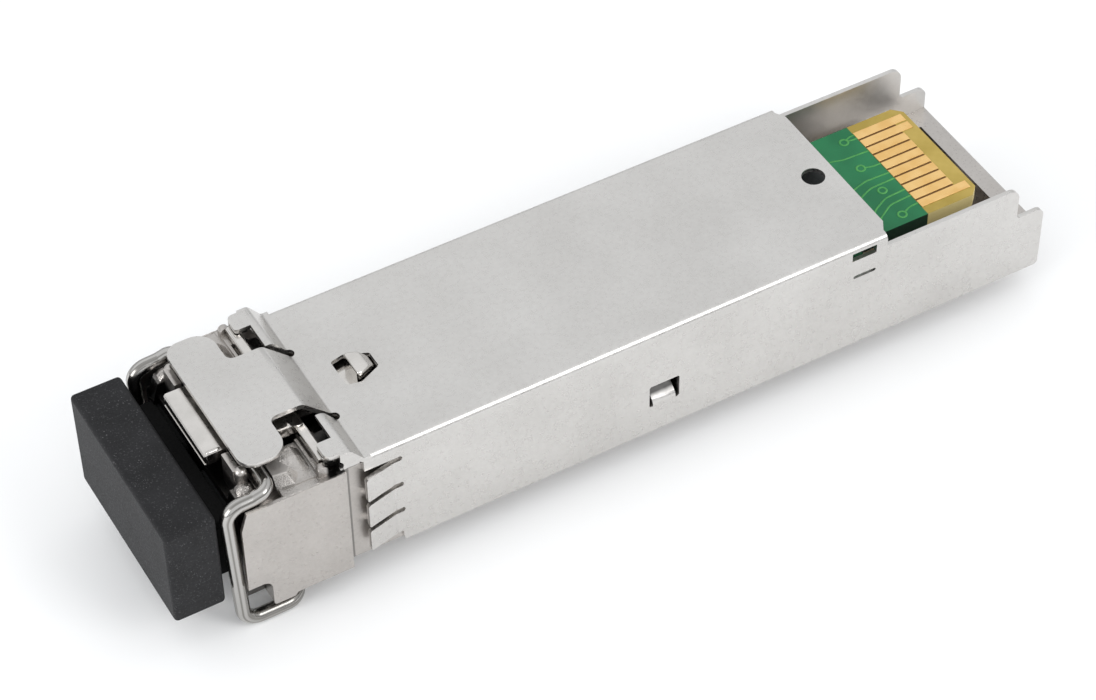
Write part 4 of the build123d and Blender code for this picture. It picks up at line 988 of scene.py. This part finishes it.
def padTree():
    t = Tree("contactRow", (
        ("Count", "Int", 10), ("Pitch", "Float", 0.0008), ("Width", "Float", 0.0006),
        ("Thickness", "Float", 0.00004), ("Short Length", "Float", 0.0026),
        ("Long Length", "Float", 0.0034), ("Long Up To", "Int", 1), ("Long From", "Int", 9),
        ("Material", "Material", None)))
    i = t.start.outputs
    line = t.add("GeometryNodeMeshLine", mode="OFFSET")
    step = t.add("ShaderNodeCombineXYZ")
    flip = t.add("ShaderNodeMath", operation="MULTIPLY")
    flip.inputs[1].default_value = -1
    t.link(i["Pitch"], flip.inputs[0])
    t.link(flip.outputs[0], step.inputs["Y"])
    t.link(i["Count"], line.inputs["Count"])
    t.link(step.outputs[0], line.inputs["Offset"])
    # the ground contacts, at the start and the end of the row, are longer
    index = t.add("GeometryNodeInputIndex")
    early = t.add("FunctionNodeCompare", data_type="INT", operation="LESS_EQUAL")
    late = t.add("FunctionNodeCompare", data_type="INT", operation="GREATER_EQUAL")
    either = t.add("FunctionNodeBooleanMath", operation="OR")
    for node, limit in ((early, "Long Up To"), (late, "Long From")):
        ints = [s for s in node.inputs if s.type == "INT" and s.enabled]
        t.link(index.outputs[0], ints[0])
        t.link(i[limit], ints[1])
    t.link(early.outputs[0], either.inputs[0])
    t.link(late.outputs[0], either.inputs[1])
    pick = t.add("GeometryNodeSwitch", input_type="FLOAT")
    t.link(either.outputs[0], pick.inputs["Switch"])
    t.link(i["Short Length"], pick.inputs["False"])
    t.link(i["Long Length"], pick.inputs["True"])
    size = t.add("ShaderNodeCombineXYZ")
    t.link(pick.outputs[0], size.inputs["X"])
    t.link(i["Width"], size.inputs["Y"])
    t.link(i["Thickness"], size.inputs["Z"])
    cube = t.add("GeometryNodeMeshCube")
    cube.inputs["Size"].default_value = (1, 1, 1)
    lead = t.add("GeometryNodeTransform")
    lead.inputs["Translation"].default_value = (0.5, 0, 0)
    t.link(cube.outputs["Mesh"], lead.inputs["Geometry"])
    put = t.add("GeometryNodeInstanceOnPoints")
    t.link(line.outputs["Mesh"], put.inputs["Points"])
    t.link(lead.outputs[0], put.inputs["Instance"])
    t.link(size.outputs[0], put.inputs["Scale"])
    return t.finish(put.outputs["Instances"])


def contactRows(s):
    tree = padTree()
    bm = bmesh.new()
    for z in (s["top"], s["bottom"]):
        mesh = grown("contactRow", tree, pointsMesh([(0, 0, 0)]), {
            "Count": s["count"], "Pitch": s["pitch"] * mm, "Width": s["width"] * mm,
            "Thickness": s["thick"] * mm, "Short Length": (s["shortEnd"] - s["start"]) * mm,
            "Long Length": (s["longEnd"] - s["start"]) * mm, "Long Up To": s["firstLong"],
            "Long From": s["lastLong"], "Material": looks["gold_plate"]})
        mesh.transform(Matrix.Translation(at(s["start"], (s["count"] - 1) / 2 * s["pitch"], z)))
        bm.from_mesh(mesh)
    return softEdges("contacts", meshFrom("contacts", bm), s)


newObject("gold_contacts", contactRows(padSizes), "module", "gold_plate", ("edge_contacts",))

# tracks and via rings under the solder mask, on the upper face of the board
trackSizes = {
    "width": 0.13, "height": 0.02, "bend": 1.3, "top": 6.25, "ringR": 0.27, "ringWidth": 0.14,
    "ringLift": 0.004,
    "vias": ((48.11, 3.5), (47.7, 0.96), (47.75, -1.41), (47.62, -3.83)),
    "tracks": (
        ((44.0, 2.6), (46.45, 2.39), (47.16, 2.17), (49.05, 2.08)),
        ((44.4, -1.4), (46.43, -0.4), (47.37, -0.18), (49.05, -0.25)),
        ((44.6, -2.2), (46.53, -1.16), (47.23, -0.88), (49.05, -0.85)),
        ((45.2, -3.9), (46.41, -2.66), (47.5, -2.1), (49.05, -2.02)),
        ((45.4, -4.3), (46.34, -3.41), (47.46, -2.74), (49.05, -2.66)),
        ((48.34, 3.62), (48.62, 3.78), (49.05, 3.78)),
        ((48.37, 3.5), (48.69, 3.44), (49.05, 3.42)),
        ((47.95, 0.9), (48.4, 0.74), (49.05, 0.72)),
        ((47.88, -3.74), (48.3, -3.5), (49.05, -3.46)),
    ),
}


def trackTree():
    t = Tree("maskedTracks", (("Track Width", "Float", 0.00013), ("Track Height", "Float", 0.00002),
                              ("Bend Radius", "Float", 0.0005), ("Material", "Material", None)))
    i = t.start.outputs
    curve = t.add("GeometryNodeMeshToCurve")
    bend = t.add("GeometryNodeFilletCurve")
    bend.mode = "POLY"
    bend.inputs["Count"].default_value = 6
    shape = t.add("GeometryNodeCurvePrimitiveQuadrilateral")
    sweep = t.add("GeometryNodeCurveToMesh")
    sweep.inputs["Fill Caps"].default_value = True
    t.link(i["Geometry"], curve.inputs["Mesh"])
    t.link(curve.outputs[0], bend.inputs["Curve"])
    t.link(i["Bend Radius"], bend.inputs["Radius"])
    t.link(i["Track Width"], shape.inputs["Width"])
    t.link(i["Track Height"], shape.inputs["Height"])
    t.link(bend.outputs[0], sweep.inputs["Curve"])
    t.link(shape.outputs[0], sweep.inputs["Profile Curve"])
    return t.finish(sweep.outputs[0])


def ringTree():
    t = Tree("viaRings", (("Ring Radius", "Float", 0.00027), ("Ring Width", "Float", 0.00014),
                          ("Ring Height", "Float", 0.00002), ("Material", "Material", None)))
    i = t.start.outputs
    circle = t.add("GeometryNodeCurvePrimitiveCircle")
    circle.inputs["Resolution"].default_value = 28
    shape = t.add("GeometryNodeCurvePrimitiveQuadrilateral")
    sweep = t.add("GeometryNodeCurveToMesh")
    put = t.add("GeometryNodeInstanceOnPoints")
    t.link(i["Ring Radius"], circle.inputs["Radius"])
    t.link(i["Ring Width"], shape.inputs["Width"])
    t.link(i["Ring Height"], shape.inputs["Height"])
    t.link(circle.outputs[0], sweep.inputs["Curve"])
    t.link(shape.outputs[0], sweep.inputs["Profile Curve"])
    t.link(i["Geometry"], put.inputs["Points"])
    t.link(sweep.outputs[0], put.inputs["Instance"])
    return t.finish(put.outputs[0])


def boardCopper(s):
    centres = pointsMesh([at(x, y, s["top"] + s["ringLift"]) for x, y in s["vias"]])
    paths = linesMesh([[at(x, y, s["top"]) for x, y in line] for line in s["tracks"]])
    bm = bmesh.new()
    bm.from_mesh(grown("viaRings", ringTree(), centres, {
        "Ring Radius": s["ringR"] * mm, "Ring Width": s["ringWidth"] * mm,
        "Ring Height": s["height"] * mm, "Material": maskCopper}))
    bm.from_mesh(grown("maskedTracks", trackTree(), paths, {
        "Track Width": s["width"] * mm, "Track Height": s["height"] * mm,
        "Bend Radius": s["bend"] * mm, "Material": maskCopper}))
    bmesh.ops.recalc_face_normals(bm, faces=bm.faces)
    return meshFrom("boardCopper", bm)


newObject("board_copper", boardCopper(trackSizes), "module", "green_laminate", material=maskCopper)

# painted shade: a dark block on the board under the probe hole stands in for the shade seen through the
# hole
shadeBlockSizes = {"low": (42.2, -1.1, 6.25), "high": (44.75, 2.3, 7.35), "round": 0.15}


def shadeBlockMesh(s):
    bm = bmesh.new()
    roundedBox(bm, at(*s["low"]), at(*s["high"]), s["round"], 3)
    return meshFrom("shadeBlock", bm)


newObject("board_shade_block", shadeBlockMesh(shadeBlockSizes), "module", "black_package")
print("stage 9: card edge")
